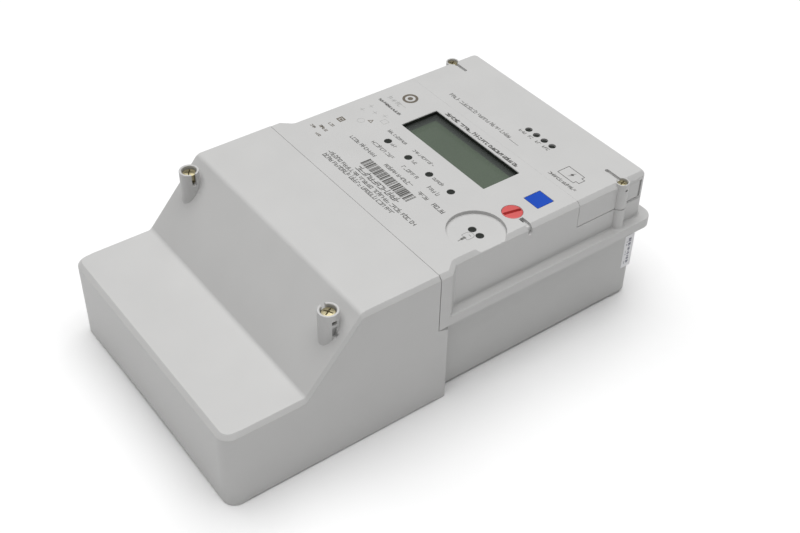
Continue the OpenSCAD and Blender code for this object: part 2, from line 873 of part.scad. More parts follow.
module load_relay(i) {
    mid = (terminal_x(2 * (i - 1)) + terminal_x(2 * i - 1)) / 2;
    color([0.16, 0.16, 0.18]) from_end() difference() {
        union() {
            block(mid, 26.5, relay_y, 214, 6, 44);
            for (side = [-1, 1]) peg(mid + side * relay_pin_dx, relay_pin_y, 43.9, board_z, 1.4);
        }
        block(mid, 10, relay_y - 1, relay_y + 2, 30, 40);
    }
}

module main_board() {
    color("darkgreen") from_end() difference() {
        translate([-board_half_w, board_y, board_z]) cube([2 * board_half_w, board_l, board_t]);
        for (spot = board_screw_spots) peg(spot[0], spot[1], board_z - 1, board_top + 1, 2.9);
        for (side = [-1, 1]) peg(side * case_screw_x, case_screw_y[0], board_z - 1, board_top + 1, 14);
        for (i = [0:2], side = [-1, 1]) {
            mid = (terminal_x(2 * i) + terminal_x(2 * i + 1)) / 2;
            peg(mid + side * relay_pin_dx, relay_pin_y, board_z - 1, board_top + 1, 1.5);
        }
    }
}

module board_components() {
    color([0.1, 0.1, 0.1]) from_end() {
        block(-20, 14, 160, 174, board_top, board_top + 1.6);
        block(12, 10, 162, 172, board_top, board_top + 1.6);
        block(-52, 12, 186, 192, board_top, board_top + 1.6);
        block(52, 9, 158, 164, board_top, board_top + 1.6);
        for (i = [0:3]) peg(-60 + i * 12, 176, board_top, board_top + 12, 8);
        for (i = [0:3]) block(-64 + i * 12, 4, 240, 248, board_top, board_top + 5.5);
    }
}

module board_screws() {
    color("silver") from_end() for (spot = board_screw_spots) difference() {
        union() {
            peg(spot[0], spot[1], board_z - 2, board_z, 5);
            peg(spot[0], spot[1], board_z - 0.1, board_top + 8, 2.5);
        }
        cross_recess(spot[0], spot[1], board_z - 1, 2.8, 2.2);
    }
}

module power_transformer() {
    color([0.25, 0.24, 0.22]) from_end() {
        block(44, 34, 224, 252, 34, board_z);
        block(44, 42, 229, 247, 38, 58);
    }
}

module supercapacitor() {
    color("navy") from_end() {
        peg_along_y(-52, 53, 226, 252, 17);
        block(-52, 12, 230, 248, 60, board_z);
    }
}

module comm_connector() {
    color([0.1, 0.1, 0.1]) from_end() block(-5, 30, 244, 249, board_top, 77);
}

module comm_module() {
    color([0.85, 0.85, 0.83]) from_end() difference() {
        block(-14, 92, 242, 283, bay_floor_z + 1, 87.6);
        block(-5, 31, 243.5, 249.5, bay_floor_z, 77.2);
        for (i = [0:3]) peg(comm_x + i * comm_pitch, comm_y, 85, 88, 3.4);
        for (i = [-3:3]) block(-40 + i * 4, 1.6, 264, 278, 86.6, 88);
    }
}

module battery() {
    color("gold") from_end() translate([40.5, 249, 82]) rotate([0, 90, 0]) {
        cylinder(h = 25, d = 14.2);
        translate([0, 0, 24.9]) cylinder(h = 1.6, d = 6);
    }
}

module battery_holder() {
    color("white") from_end() difference() {
        block(54, 32, 240, 258, bay_floor_z, 84);
        block(53.8, 27.2, 241.5, 256.5, 80, 85);
        translate([40.2, 249, 82]) rotate([0, 90, 0]) cylinder(h = 27.2, d = 14.6);
    }
}

base_case();
case_gasket();
case_screws();
cover_screw_nuts();
hanger_bracket();
barcode_sticker();
front_cover();
lcd_window();
lcd_panel();
lcd_pins();
lcd_holder();
display_button();
button_plunger();
button_switch();
reset_knob();
knob_clip();
reset_switch();
optical_magnet_plate();
ir_window(-1);  // ir_window_left
ir_window(1);  // ir_window_right
for (i = [1:4]) pulse_lamp_lens(i);
module_cover();
module_cover_screw(-1);  // module_cover_screw_left
module_cover_screw(1);  // module_cover_screw_right
side_blanking_plate();
comm_light_guide();
terminal_cover();
terminal_cover_screw(-1);  // terminal_cover_screw_left
terminal_cover_screw(1);  // terminal_cover_screw_right
terminal_cover_plunger();
terminal_block();
terminal_clamps();
terminal_screws();
aux_terminal_block();
aux_terminal_screws();
for (i = [1:6]) phase_link(i);
neutral_link();
for (i = [1:3]) current_transformer(i);
for (i = [1:3]) load_relay(i);
main_board();
board_components();
board_screws();
power_transformer();
supercapacitor();
comm_connector();
comm_module();
battery();
battery_holder();
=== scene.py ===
"""Looks of the three-phase electricity meter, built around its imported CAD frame.

Shapes are drawn in millimetres. Along Y they use stations measured from the cable end,
and place() turns them into metres in the row frame.
"""

import json
import math
import random

import bmesh
import bpy
from mathutils import Matrix, Vector


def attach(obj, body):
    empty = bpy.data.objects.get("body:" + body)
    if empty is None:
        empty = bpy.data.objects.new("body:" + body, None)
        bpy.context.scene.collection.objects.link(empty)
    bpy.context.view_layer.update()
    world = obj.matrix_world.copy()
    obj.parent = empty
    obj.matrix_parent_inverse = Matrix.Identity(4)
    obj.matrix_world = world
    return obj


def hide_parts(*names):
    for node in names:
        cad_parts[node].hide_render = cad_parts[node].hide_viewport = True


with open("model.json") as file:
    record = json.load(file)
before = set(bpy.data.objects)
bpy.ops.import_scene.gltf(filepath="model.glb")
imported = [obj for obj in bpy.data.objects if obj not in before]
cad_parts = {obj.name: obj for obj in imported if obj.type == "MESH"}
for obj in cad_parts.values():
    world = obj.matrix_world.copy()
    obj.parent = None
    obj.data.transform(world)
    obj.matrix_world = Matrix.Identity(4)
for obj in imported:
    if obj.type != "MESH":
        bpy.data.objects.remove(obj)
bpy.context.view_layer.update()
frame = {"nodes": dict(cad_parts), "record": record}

MM = 0.001
HALF_LENGTH = 147.5

# Housing. The printing stands a little proud of the face and still inside the CAD box.
FACE = 92.94
INK_TOP = 92.99
HALF_BODY = 85.0
HALF_UPPER = 79.5
HALF_BASE = 78.0
WALL = 2.5
CHAMFER = 2.5
INNER_BODY = HALF_BODY - WALL
INNER_UPPER = HALF_UPPER - WALL
INNER_BASE = HALF_BASE - WALL

# Heights above the mounting face
LOW_STEP = 52.5
SKIRT_TOP = 54.3
FLANGE_LOW = 54.5
FLANGE_TOP = 61.0
MODULE_LOW = 75.4
LID = 90.5
PORT_FLOOR = 90.8

# Stations from the cable end
SLOPE_FOOT = 49.0
SLOPE_HEAD = 84.5
SEAM = 133.5
SKIRT = 141.0
STUB_RUN = 6.5
MODULE_NEAR = 235.5
FAR_WALL = 289.0
FAR_FLANGE = 295.0
FAR_INSIDE = FAR_WALL - WALL

# Middles of the features, (x, station)
COVER_SCREW = (71.5, 72.0)
COLUMN = (78.6, 269.0)
KNOB = (63.7, 199.2)
BUTTON = (63.8, 218.5)
PORT = (64.5, 173.0)
PULSE_LAMPS = [((i - 1.5) * 20.1, 182.4) for i in range(4)]
COMM_LAMPS = [(8.4 + i * 7.0, 259.0) for i in range(4)]
IR_OFFSET = 3.3

# Display opening, (low x, high x, low station, high station)
DISPLAY = (-39.5, 38.5, 199.3, 225.8)

# How far cutters reach: clear of the side walls, clear of the face, and below the mounting face.
# Bosses and ribs run a little way into the lid they hang from.
CLEAR_SIDE = 90.0
CLEAR_FACE = 96.0
BELOW = -1.0
LID_BITE = LID + 0.4


# ---------- Outlines ----------

def rounded(corners, steps=6):
    """Closed outline through corners (x, y, radius), with each radius drawn as an arc."""
    points = []
    count = len(corners)
    for i, (x, y, radius) in enumerate(corners):
        here = Vector((x, y))
        if radius == 0:
            points.append(here)
            continue
        before = (Vector(corners[i - 1][:2]) - here).normalized()
        after = (Vector(corners[(i + 1) % count][:2]) - here).normalized()
        half = before.angle(after) / 2
        start = here + before * (radius / math.tan(half))
        end = here + after * (radius / math.tan(half))
        centre = here + (before + after).normalized() * (radius / math.sin(half))
        first = math.atan2(start.y - centre.y, start.x - centre.x)
        last = math.atan2(end.y - centre.y, end.x - centre.x)
        sweep = (last - first + math.pi) % (2 * math.pi) - math.pi
        for k in range(steps + 1):
            angle = first + sweep * k / steps
            points.append(centre + radius * Vector((math.cos(angle), math.sin(angle))))
    return points


def rectangle(x0, x1, y0, y1, near_left=0, near_right=0, far_right=0, far_left=0, steps=6):
    return rounded(
        [(x0, y0, near_left), (x1, y0, near_right), (x1, y1, far_right), (x0, y1, far_left)], steps
    )


def square(middle, half, radius=0.0, steps=6):
    x, y = middle
    return rectangle(x - half, x + half, y - half, y + half, radius, radius, radius, radius, steps)


def disc(x, y, radius, steps=40):
    turns = [i * (2 * math.pi / steps) for i in range(steps)]
    return [Vector((x + radius * math.cos(turn), y + radius * math.sin(turn))) for turn in turns]


def inset(points, depth):
    """The outline moved inwards by depth, with as many points as before."""
    moved = []
    count = len(points)
    for i, point in enumerate(points):
        along_in = (point - points[i - 1]).normalized()
        along_out = (points[(i + 1) % count] - point).normalized()
        side_in = Vector((-along_in.y, along_in.x))
        side_out = Vector((-along_out.y, along_out.x))
        moved.append(point + (side_in + side_out) * (depth / (1 + side_in.dot(side_out))))
    return moved


# ---------- Solids ----------

MERGE_DISTANCE = 0.0005
AXES = {
    "x": lambda u, v, w: (w, u, v),
    "y": lambda u, v, w: (u, w, v),
    "z": lambda u, v, w: (u, v, w),
}


def new_object(bm, name="part"):
    mesh = bpy.data.meshes.new(name)
    bm.to_mesh(mesh)
    bm.free()
    thing = bpy.data.objects.new(name, mesh)
    bpy.context.scene.collection.objects.link(thing)
    return thing


def solid(points, levels, axis="z"):
    """Closed solid from one outline at levels (height, inset) along an axis."""
    bm = bmesh.new()
    rings = []
    for height, depth in levels:
        ring = inset(points, depth) if depth else points
        rings.append([bm.verts.new(AXES[axis](p.x, p.y, height)) for p in ring])
    count = len(points)
    for low, high in zip(rings, rings[1:]):
        for i in range(count):
            j = (i + 1) % count
            bm.faces.new((low[i], low[j], high[j], high[i]))
    bm.faces.new(list(reversed(rings[0])))
    bm.faces.new(rings[-1])
    bmesh.ops.remove_doubles(bm, verts=bm.verts[:], dist=MERGE_DISTANCE)
    bmesh.ops.recalc_face_normals(bm, faces=bm.faces[:])
    return new_object(bm)


def box(x0, x1, y0, y1, z0, z1):
    return solid(rectangle(x0, x1, y0, y1), [(z0, 0), (z1, 0)])


def soft_box(x0, x1, y0, y1, z0, z1, edge=0.3, radius=0.6):
    outline = rectangle(x0, x1, y0, y1, radius, radius, radius, radius, 3)
    return solid(outline, [(z0, edge), (z0 + edge, 0), (z1 - edge, 0), (z1, edge)])


def peg(x, y, z0, z1, diameter, edge=0.0, steps=40):
    levels = [(z0, 0), (z1, 0)]
    if edge:
        levels = [(z0, 0), (z1 - edge, 0), (z1, edge)]
    return solid(disc(x, y, diameter / 2, steps), levels)


def peg_x(y, z, x0, x1, diameter, steps=28):
    return solid(disc(y, z, diameter / 2, steps), [(x0, 0), (x1, 0)], "x")


def peg_y(x, z, y0, y1, diameter, steps=40):
    return solid(disc(x, z, diameter / 2, steps), [(y0, 0), (y1, 0)], "y")


def mouth(points, z_from, surface, lip=0.25):
    """Cutter for an opening in a face at height surface, with a small bevelled lip."""
    return solid(points, [(z_from, 0), (surface - lip, 0), (surface + 0.5, -lip - 0.5)])


def turned(x, y, profile, steps=40):
    """Solid of revolution about a vertical axis from (height, radius) pairs."""
    widest = max(radius for height, radius in profile)
    return solid(disc(x, y, widest, steps), [(height, widest - radius) for height, radius in profile])


def settle(thing):
    """Turns the object's modifiers into its mesh."""
    graph = bpy.context.evaluated_depsgraph_get()
    mesh = bpy.data.meshes.new_from_object(thing.evaluated_get(graph))
    old = thing.data
    thing.modifiers.clear()
    thing.data = mesh
    bpy.data.meshes.remove(old)
    return thing


def discard(thing):
    mesh = thing.data
    bpy.data.objects.remove(thing)
    bpy.data.meshes.remove(mesh)


def boolean(thing, tools, operation):
    """Applies the tools one after the other, as they may overlap."""
    for tool in tools:
        modifier = thing.modifiers.new("boolean", "BOOLEAN")
        modifier.operation = operation
        modifier.object = tool
        modifier.solver = "EXACT"
    settle(thing)
    for tool in tools:
        discard(tool)
    return thing


def cut(thing, *tools):
    return boolean(thing, tools, "DIFFERENCE")


def join(thing, *tools):
    return boolean(thing, tools, "UNION")


def merge(things):
    """Puts separate closed solids into one object without cutting them."""
    bm = bmesh.new()
    for thing in things:
        bm.from_mesh(thing.data)
        discard(thing)
    return new_object(bm)


def soften(thing, width, angle=25.0, segments=2):
    modifier = thing.modifiers.new("soften", "BEVEL")
    modifier.width = width
    modifier.segments = segments
    modifier.limit_method = "ANGLE"
    modifier.angle_limit = math.radians(angle)
    return settle(thing)


def chamfer(thing, weight_of):
    """Chamfers every edge by weight_of(its two ends) times the housing's chamfer."""
    mesh = thing.data
    weights = mesh.attributes.new("bevel_weight_edge", "FLOAT", "EDGE")
    for edge in mesh.edges:
        a, b = (mesh.vertices[i].co for i in edge.vertices)
        weights.data[edge.index].value = weight_of(a, b)
    modifier = thing.modifiers.new("chamfer", "BEVEL")
    modifier.width = CHAMFER
    modifier.segments = 1
    modifier.limit_method = "WEIGHT"
    settle(thing)
    left = thing.data.attributes.get("bevel_weight_edge")
    if left:
        thing.data.attributes.remove(left)
    return thing


# ---------- Materials ----------

def ramp_between(nodes, links, factor, low, high):
    ramp = nodes.new("ShaderNodeValToRGB")
    ramp.color_ramp.elements[0].position = 0.3
    ramp.color_ramp.elements[1].position = 0.7
    ramp.color_ramp.elements[0].color = low
    ramp.color_ramp.elements[1].color = high
    links.new(factor, ramp.inputs[0])
    return ramp.outputs[0]


def look(
    name, colour, rough=0.45, metal=0.0, vary=0.03, grain=1400.0, depth=0.06, patch=45.0,
    rough_vary=0.06, specular=0.5, alpha=1.0, stretch=(1, 1, 1), sub=0.0,
):
    """Procedural finish: broad colour and gloss patches over a fine moulded or milled grain."""
    material = bpy.data.materials.new(name)
    material.use_nodes = True
    nodes, links = material.node_tree.nodes, material.node_tree.links
    shader = nodes["Principled BSDF"]
    place_on = nodes.new("ShaderNodeTexCoord")
    scale = nodes.new("ShaderNodeMapping")
    scale.inputs["Scale"].default_value = stretch
    links.new(place_on.outputs["Object"], scale.inputs["Vector"])
    broad = nodes.new("ShaderNodeTexNoise")
    broad.inputs["Scale"].default_value = patch
    broad.inputs["Detail"].default_value = 4.0
    fine = nodes.new("ShaderNodeTexNoise")
    fine.inputs["Scale"].default_value = grain
    fine.inputs["Detail"].default_value = 2.0
    for noise in (broad, fine):
        links.new(scale.outputs["Vector"], noise.inputs["Vector"])
    low = [max(c * (1 - vary), 0) for c in colour] + [1]
    high = [min(c * (1 + vary), 1) for c in colour] + [1]
    links.new(ramp_between(nodes, links, broad.outputs["Fac"], low, high), shader.inputs["Base Color"])
    gloss = nodes.new("ShaderNodeMapRange")
    gloss.inputs["To Min"].default_value = rough - rough_vary
    gloss.inputs["To Max"].default_value = rough + rough_vary
    links.new(broad.outputs["Fac"], gloss.inputs["Value"])
    links.new(gloss.outputs["Result"], shader.inputs["Roughness"])
    bump = nodes.new("ShaderNodeBump")
    bump.inputs["Strength"].default_value = depth
    bump.inputs["Distance"].default_value = 0.0001
    links.new(fine.outputs["Fac"], bump.inputs["Height"])
    links.new(bump.outputs["Normal"], shader.inputs["Normal"])
    shader.inputs["Metallic"].default_value = metal
    shader.inputs["Specular IOR Level"].default_value = specular
    shader.inputs["Alpha"].default_value = alpha
    if sub:
        shader.inputs["Subsurface Weight"].default_value = sub
        shader.inputs["Subsurface Scale"].default_value = 0.002
    if alpha < 1:
        material.blend_method = "BLEND"
    return material


def metal(name, colour, rough, vary, grain, depth, **more):
    return look(name, colour, rough, metal=1.0, vary=vary, grain=grain, depth=depth, **more)


LOOKS = {
    "housing_light": look("housing_light", (0.535, 0.533, 0.527), 0.45, vary=0.012, depth=0.10),
    "base_light": look("base_light", (0.52, 0.52, 0.513), 0.5, vary=0.015, depth=0.12),
    "terminal_black": look("terminal_black", (0.022, 0.022, 0.024), 0.42, vary=0.2, depth=0.2),
    "brass": metal("brass", (0.72, 0.50, 0.20), 0.3, 0.12, 900, 0.15, stretch=(1, 6, 1)),
    "zinc_yellow": look(
        "zinc_yellow", (0.42, 0.375, 0.235), 0.38, metal=0.9, vary=0.22, grain=700, depth=0.12, patch=400
    ),
    "steel": metal("steel", (0.55, 0.55, 0.54), 0.32, 0.1, 900, 0.1, stretch=(1, 8, 1)),
    "copper": metal("copper", (0.80, 0.40, 0.24), 0.3, 0.15, 800, 0.12, stretch=(8, 1, 1)),
    "clear_window": look("clear_window", (0.5, 0.55, 0.52), 0.06, vary=0.02, depth=0.01, alpha=0.06),
    "lcd_glass": look("lcd_glass", (0.064, 0.090, 0.055), 0.12, vary=0.10, depth=0.01, patch=25.0),
    "white_plastic": look("white_plastic", (0.74, 0.74, 0.72), 0.42, vary=0.02),
    "blue_plastic": look(
        "blue_plastic", (0.003, 0.060, 0.44), 0.40, vary=0.05, depth=0.05, specular=0.25
    ),
    "red_plastic": look("red_plastic", (0.60, 0.090, 0.088), 0.38, vary=0.05, depth=0.05),
    "dark_plastic": look(
        "dark_plastic", (0.018, 0.021, 0.018), 0.42, vary=0.15, depth=0.03, specular=0.2
    ),
    "rubber_black": look("rubber_black", (0.02, 0.02, 0.02), 0.8, vary=0.2, depth=0.3),
    "board_green": look("board_green", (0.02, 0.11, 0.05), 0.35, vary=0.12, grain=2500, depth=0.2),
    "component_black": look("component_black", (0.025, 0.025, 0.027), 0.5, vary=0.2, depth=0.2),
    "green_plastic": look("green_plastic", (0.05, 0.28, 0.12), 0.42, vary=0.06),
    "core_lamination": look(
        "core_lamination", (0.16, 0.15, 0.15), 0.45, metal=0.6, vary=0.2, stretch=(1, 1, 30)
    ),
    "capacitor_sleeve": look("capacitor_sleeve", (0.04, 0.10, 0.30), 0.35, vary=0.08),
    "battery_sleeve": look("battery_sleeve", (0.60, 0.42, 0.06), 0.30, vary=0.05, depth=0.03),
    "sticker_paper": look("sticker_paper", (0.78, 0.78, 0.80), 0.40, vary=0.02, grain=3000, depth=0.05),
}
INK = look("face_ink", (0.075, 0.073, 0.068), 0.5, vary=0.12, depth=0.03)
PALE_INK = look("pale_ink", (0.42, 0.42, 0.41), 0.5, vary=0.06, depth=0.03)
PORT_INK = look("port_ink", (0.22, 0.22, 0.21), 0.5, vary=0.06, depth=0.03)
MARK_INK = look("mark_ink", (0.13, 0.11, 0.085), 0.5, vary=0.1, depth=0.03)
STICKER_INK = look("sticker_ink", (0.10, 0.10, 0.15), 0.5, vary=0.2, depth=0.03)

SLOT_OF = {sub["node"]: sub["material_slot"] for sub in frame["record"]["subparts"]}


# ---------- Pieces ----------

CREASE_ANGLE = 32.0
SLIVER = 1e-7


def place(thing, name, body, slot, replaced=(), material=None):
    """Finishes a piece: metres, smooth shading with sharp creases, its material (looked up by slot
    unless given) and its body.
    """
    thing.name = name
    thing.data.name = name
    bpy.context.view_layer.update()
    thing.data.transform(Matrix.Scale(MM, 4) @ Matrix.Translation((0, -HALF_LENGTH, 0)))
    bm = bmesh.new()
    bm.from_mesh(thing.data)
    bmesh.ops.dissolve_degenerate(bm, dist=SLIVER, edges=bm.edges[:])
    bm.to_mesh(thing.data)
    bm.free()
    for polygon in thing.data.polygons:
        polygon.use_smooth = True
    thing.data.set_sharp_from_angle(angle=math.radians(CREASE_ANGLE))
    normals = thing.modifiers.new("normals", "WEIGHTED_NORMAL")
    normals.keep_sharp = True
    thing.data.materials.clear()
    thing.data.materials.append(material or LOOKS[slot])
    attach(thing, body)
    if replaced:
        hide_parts(*replaced)
    return thing


# ---------- Terminal cover ----------

END_RADIUS = 8.0
SLOPE_SINE = 0.752
POST_RADIUS = 5.8
POST_FOOT = 45.6
BORE_RADIUS = 4.4
HEAD_SEAT = 86.0
SHANK_HOLE = 4.6
NOTCH_FLOOR = 85.0
NOTCH_HALF = 1.4
WINDOW_HALF = 1.5
WINDOW_HEIGHTS = ((78, 85), (86.4, 89))
RIB = 1.8
ARCH_HALF = 75.0
ARCH_RISE = 3.5
KNOCKOUT_PITCH = 29.0
KNOCKOUT_HALF = 11.0
KNOCKOUT_HEIGHTS = (6, 25)
KNOCKOUT_SKIN = 0.8
ROOM_NEAR = 30.0
INNER_SLOPE_FOOT = 50.3
INNER_SLOPE_HEAD = 85.9
RIB_X = 28.0
RIB_STATIONS = (96, 130)
RIB_LOW = 80.0
PLUNGER_RIB = (52, 64, 128.8, 131.2, 62)    # low and high x, its two stations, lower end
RELIEF_STATIONS = (12, 134)
RELIEF_HEIGHT = 0.8


def cover_chamfer(a, b):
    """Share of the full chamfer for the terminal cover's edge from a to b."""
    middle = (a + b) / 2
    if (b - a).length < 1e-6 or middle.z < 1:
        return 0.0
    along = (b - a).normalized()
    on_side = abs(middle.x) > HALF_BODY - 0.01
    across = abs(along.x) > 0.99
    above_step = middle.z > LOW_STEP - 0.01
    on_step = above_step and middle.z < LOW_STEP + 0.01
    if on_step and not across and middle.y < SLOPE_FOOT - 3:
        return 1.0
    if above_step and middle.y < 2:
        return 1.0
    if on_side and abs(along.y) > 0.1 and middle.z > LOW_STEP + 0.01:
        steepness = abs(along.z) / SLOPE_SINE
        return 1.0 - 0.42 * min(steepness, 1.0)
    if on_side and abs(along.y) > 0.99 and abs(middle.z - LOW_STEP) < 0.02:
        return 1.0
    if on_side and middle.y > SKIRT - 0.01 and abs(along.z) > 0.99:
        return 0.35
    return 0.0


def terminal_cover_outside():
    profile = rounded(
        [
            (0, 0, 0), (0, LOW_STEP, 0), (SLOPE_FOOT, LOW_STEP, 4.0), (SLOPE_HEAD, FACE, 5.0),
            (SEAM, FACE, 0), (SEAM, SKIRT_TOP, 0), (SKIRT, SKIRT_TOP, 0), (SKIRT, 0, 0),
        ],
        5,
    )
    shell = solid(profile, [(-HALF_BODY, 0), (HALF_BODY, 0)], "x")
    bm = bmesh.new()
    bm.from_mesh(shell.data)
    upright = [
        e for e in bm.edges
        if all(v.co.y < 0.01 for v in e.verts) and abs(e.verts[0].co.x - e.verts[1].co.x) < 0.01
    ]
    bmesh.ops.bevel(bm, geom=upright, offset=END_RADIUS, segments=10, profile=0.5, affect="EDGES")
    bm.to_mesh(shell.data)
    bm.free()
    chamfer(shell, cover_chamfer)
    return soften(shell, 0.28, 20.0, 2)


def terminal_room_tools():
    """The room inside the cover: under the slope and lid, and behind the near wall."""
    top = LOW_STEP - WALL
    past_end = SKIRT + 1
    near = [(ROOM_NEAR, BELOW), (ROOM_NEAR, top)]
    slope = [(INNER_SLOPE_FOOT, top), (INNER_SLOPE_HEAD, LID)]
    end = [(past_end, LID), (past_end, BELOW)]
    profile = [Vector(p) for p in near + slope + end]
    room = solid(profile, [(-INNER_BODY, 0), (INNER_BODY, 0)], "x")
    near_corners = END_RADIUS - WALL
    near_room = solid(
        rectangle(-INNER_BODY, INNER_BODY, WALL, ROOM_NEAR + 10, near_corners, near_corners),
        [(BELOW, 0), (top, 0)],
    )
    return [room, near_room]


def screw_post(side):
    outline = disc(side * COVER_SCREW[0], COVER_SCREW[1], POST_RADIUS, 56)
    return solid(outline, [(POST_FOOT, 0), (FACE - 0.35, 0), (FACE - 0.08, 0.12), (FACE, 0.4)])


def screw_post_tools(side):
    """Bore, shank hole, sealing notch and two side windows of one post."""
    x, y = side * COVER_SCREW[0], COVER_SCREW[1]
    bore = mouth(disc(x, y, BORE_RADIUS, 48), HEAD_SEAT, FACE, 0.3)
    shank = peg(x, y, POST_FOOT - 1.6, HEAD_SEAT + 1, SHANK_HOLE)
    over = FACE + 2.06
    floor_corner = NOTCH_HALF - 0.1
    outline = rectangle(y - NOTCH_HALF, y + NOTCH_HALF, NOTCH_FLOOR, over, floor_corner, floor_corner)
    inner_x = x - side * 5
    notch = solid(outline, [(inner_x - 3, 0), (inner_x + 3, 0)], "x")
    outer_x = x + side * 5.4
    windows = []
    for low, high in WINDOW_HEIGHTS:
        outline = rectangle(y - WINDOW_HALF, y + WINDOW_HALF, low, high, 0.7, 0.7, 0.7, 0.7, 3)
        windows.append(solid(outline, [(outer_x - 1.7, 0), (outer_x + 1.7, 0)], "x"))
    return [bore, shank, notch, *windows]


def cable_end_tools():
    """Shallow arch in the lower edge of the near wall, and five knock-outs above it."""
    curve = []
    for angle in range(90, -91, -6):
        x = ARCH_HALF * math.sin(math.radians(angle))
        curve.append(Vector((x, ARCH_RISE * (1 - (x / ARCH_HALF) ** 2))))
    outline = [Vector((-ARCH_HALF, BELOW)), Vector((ARCH_HALF, BELOW))] + curve
    tools = [solid(outline, [(BELOW, 0), (WALL + 1, 0)], "y")]
    for i in range(-2, 3):
        x = i * KNOCKOUT_PITCH
        outline = rectangle(x - KNOCKOUT_HALF, x + KNOCKOUT_HALF, *KNOCKOUT_HEIGHTS, 0, 0, 10, 10, 8)
        tools.append(solid(outline, [(KNOCKOUT_SKIN, 0), (WALL + 0.5, 0)], "y"))
    return tools


def build_terminal_cover():
    shell = terminal_cover_outside()
    cut(shell, *terminal_room_tools())
    posts = [screw_post(side) for side in (-1, 1)]
    ribs = [
        box(x - RIB / 2, x + RIB / 2, *RIB_STATIONS, RIB_LOW, LID_BITE)
        for x in (-RIB_X, RIB_X)
    ]
    join(shell, *posts, *ribs, box(*PLUNGER_RIB, LID_BITE))
    tools = []
    for side in (-1, 1):
        tools += screw_post_tools(side)
        wall = side * HALF_BODY
        tools.append(box(wall - 5, wall + 5, *RELIEF_STATIONS, BELOW, RELIEF_HEIGHT))
    cut(shell, *tools, *cable_end_tools())
    return place(shell, "terminal_cover_shell", "terminal_cover", "housing_light", ["terminal_cover"])


# ---------- Front cover ----------

COLUMN_RADIUS = 4.2
COLUMN_TOP = 75.15
SEAL_HEIGHT = 88.4
ROOM_LOW = 54.0
BAY_UNDERSIDE = 71.0
BAY_FLOOR = 73.2
KNOB_BOSS = 17.0
PORT_BOSS = 32.4
PORT_RADIUS = 16.7
KNOB_HOLE = 6.14
KNOB_STEM_HOLE = 7.1
PLUNGER_HOLE = (58, 70, 4.12)    # x, height, diameter
BUTTON_BOSS = 7.9
BUTTON_HOLE = 6.1
LAMP_HOLE = 2.4


def upper_outline(near):
    """Plan outline of the upper walls with the wider stub at the seam."""
    return rounded(
        [
            (-HALF_BODY, near, 0), (HALF_BODY, near, 0),
            (HALF_BODY, SKIRT, 3.0), (HALF_UPPER, SKIRT + STUB_RUN, 3.0),
            (HALF_UPPER, FAR_WALL, 5), (-HALF_UPPER, FAR_WALL, 5),
            (-HALF_UPPER, SKIRT + STUB_RUN, 3.0), (-HALF_BODY, SKIRT, 3.0),
        ],
        6,
    )


def roof_levels(z_from):
    """Wall up to the chamfer, with its two edges slightly rounded."""
    return [
        (z_from, 0), (FACE - CHAMFER - 0.2, 0), (FACE - CHAMFER + 0.12, 0.1),
        (FACE - 0.12, CHAMFER - 0.12), (FACE, CHAMFER + 0.2),
    ]


def above_flange(pairs):
    """Levels from pairs (height above the flange, inset)."""
    return [(FLANGE_TOP + height, depth) for height, depth in pairs]


def flange():
    outline = rectangle(-HALF_BODY, HALF_BODY, SKIRT - 2.55, FAR_FLANGE, 0, 0, 8, 8, 10)
    rounded_top = above_flange([(-0.75, 0), (-0.2, 0.22), (0, 0.8)])
    return solid(outline, [(FLANGE_LOW, 0.35), (FLANGE_LOW + 0.3, 0)] + rounded_top)


def wall_foot():
    outline = rectangle(-HALF_UPPER, HALF_UPPER, SKIRT - 4, FAR_WALL, 0, 0, 5, 5, 6)
    return solid(outline, above_flange([(-1, -1.3), (0, -1.3), (0.3, -0.7), (0.8, -0.25), (1.6, 0.2)]))


def lower_column(side):
    outline = disc(side * COLUMN[0], COLUMN[1], COLUMN_RADIUS, 40)
    foot = above_flange([(-1, -1.5), (0, -1.5), (0.3, -0.8), (0.9, -0.25), (1.8, 0)])
    return solid(outline, foot + [(COLUMN_TOP - 0.25, 0), (COLUMN_TOP, 0.25)])


def front_room_tools():
    """Rooms under the face and under the bay's floor, the bay, and the module cover's place."""
    near, far = SEAM + 2.9, MODULE_NEAR - 2.7
    under_face = box(-INNER_UPPER, INNER_UPPER, near, far, ROOM_LOW + 3, LID)
    under_seam = box(-INNER_UPPER, INNER_UPPER, SKIRT, MODULE_NEAR - 0.2, ROOM_LOW, ROOM_LOW + 4)
    under_bay = box(-INNER_UPPER, INNER_UPPER, far - 1, FAR_INSIDE, ROOM_LOW, BAY_UNDERSIDE)
    bay_outline = rectangle(-INNER_UPPER, INNER_UPPER, MODULE_NEAR - 0.05, FAR_INSIDE, 0, 0, 3, 3)
    bay = solid(bay_outline, [(BAY_FLOOR, 0), (CLEAR_FACE, 0)])
    cover_place = box(-CLEAR_SIDE, CLEAR_SIDE, MODULE_NEAR - 0.1, 300, COLUMN_TOP, CLEAR_FACE)
    return [under_face, under_seam, under_bay, bay, cover_place]


def seal_channel_tools():
    """Round-bottomed wire channel from beside the knob over the edge and down the wall."""
    x0, y = KNOB[0] + 7.1, KNOB[1]
    floor = [(x0, 90.7), (73.8, 91.1), (76.2, 91.1), (77.2, 90.8), (77.8, 90.0), (77.9, SEAL_HEIGHT)]
    outline = [Vector(p) for p in floor + [(81, SEAL_HEIGHT), (81, 95), (x0, 95)]]
    groove = solid(outline, [(y - 1.5, 0), (y + 1.5, 0)], "y")
    foot = peg_x(y, SEAL_HEIGHT, 77.9, 81, 3.0)
    hole = solid(rectangle(x0 - 0.1, x0 + 2.0, y - 1.35, y + 1.35, 1, 1, 1, 1, 4), [(82, 0), (94, 0)])
    return [groove, foot, hole]


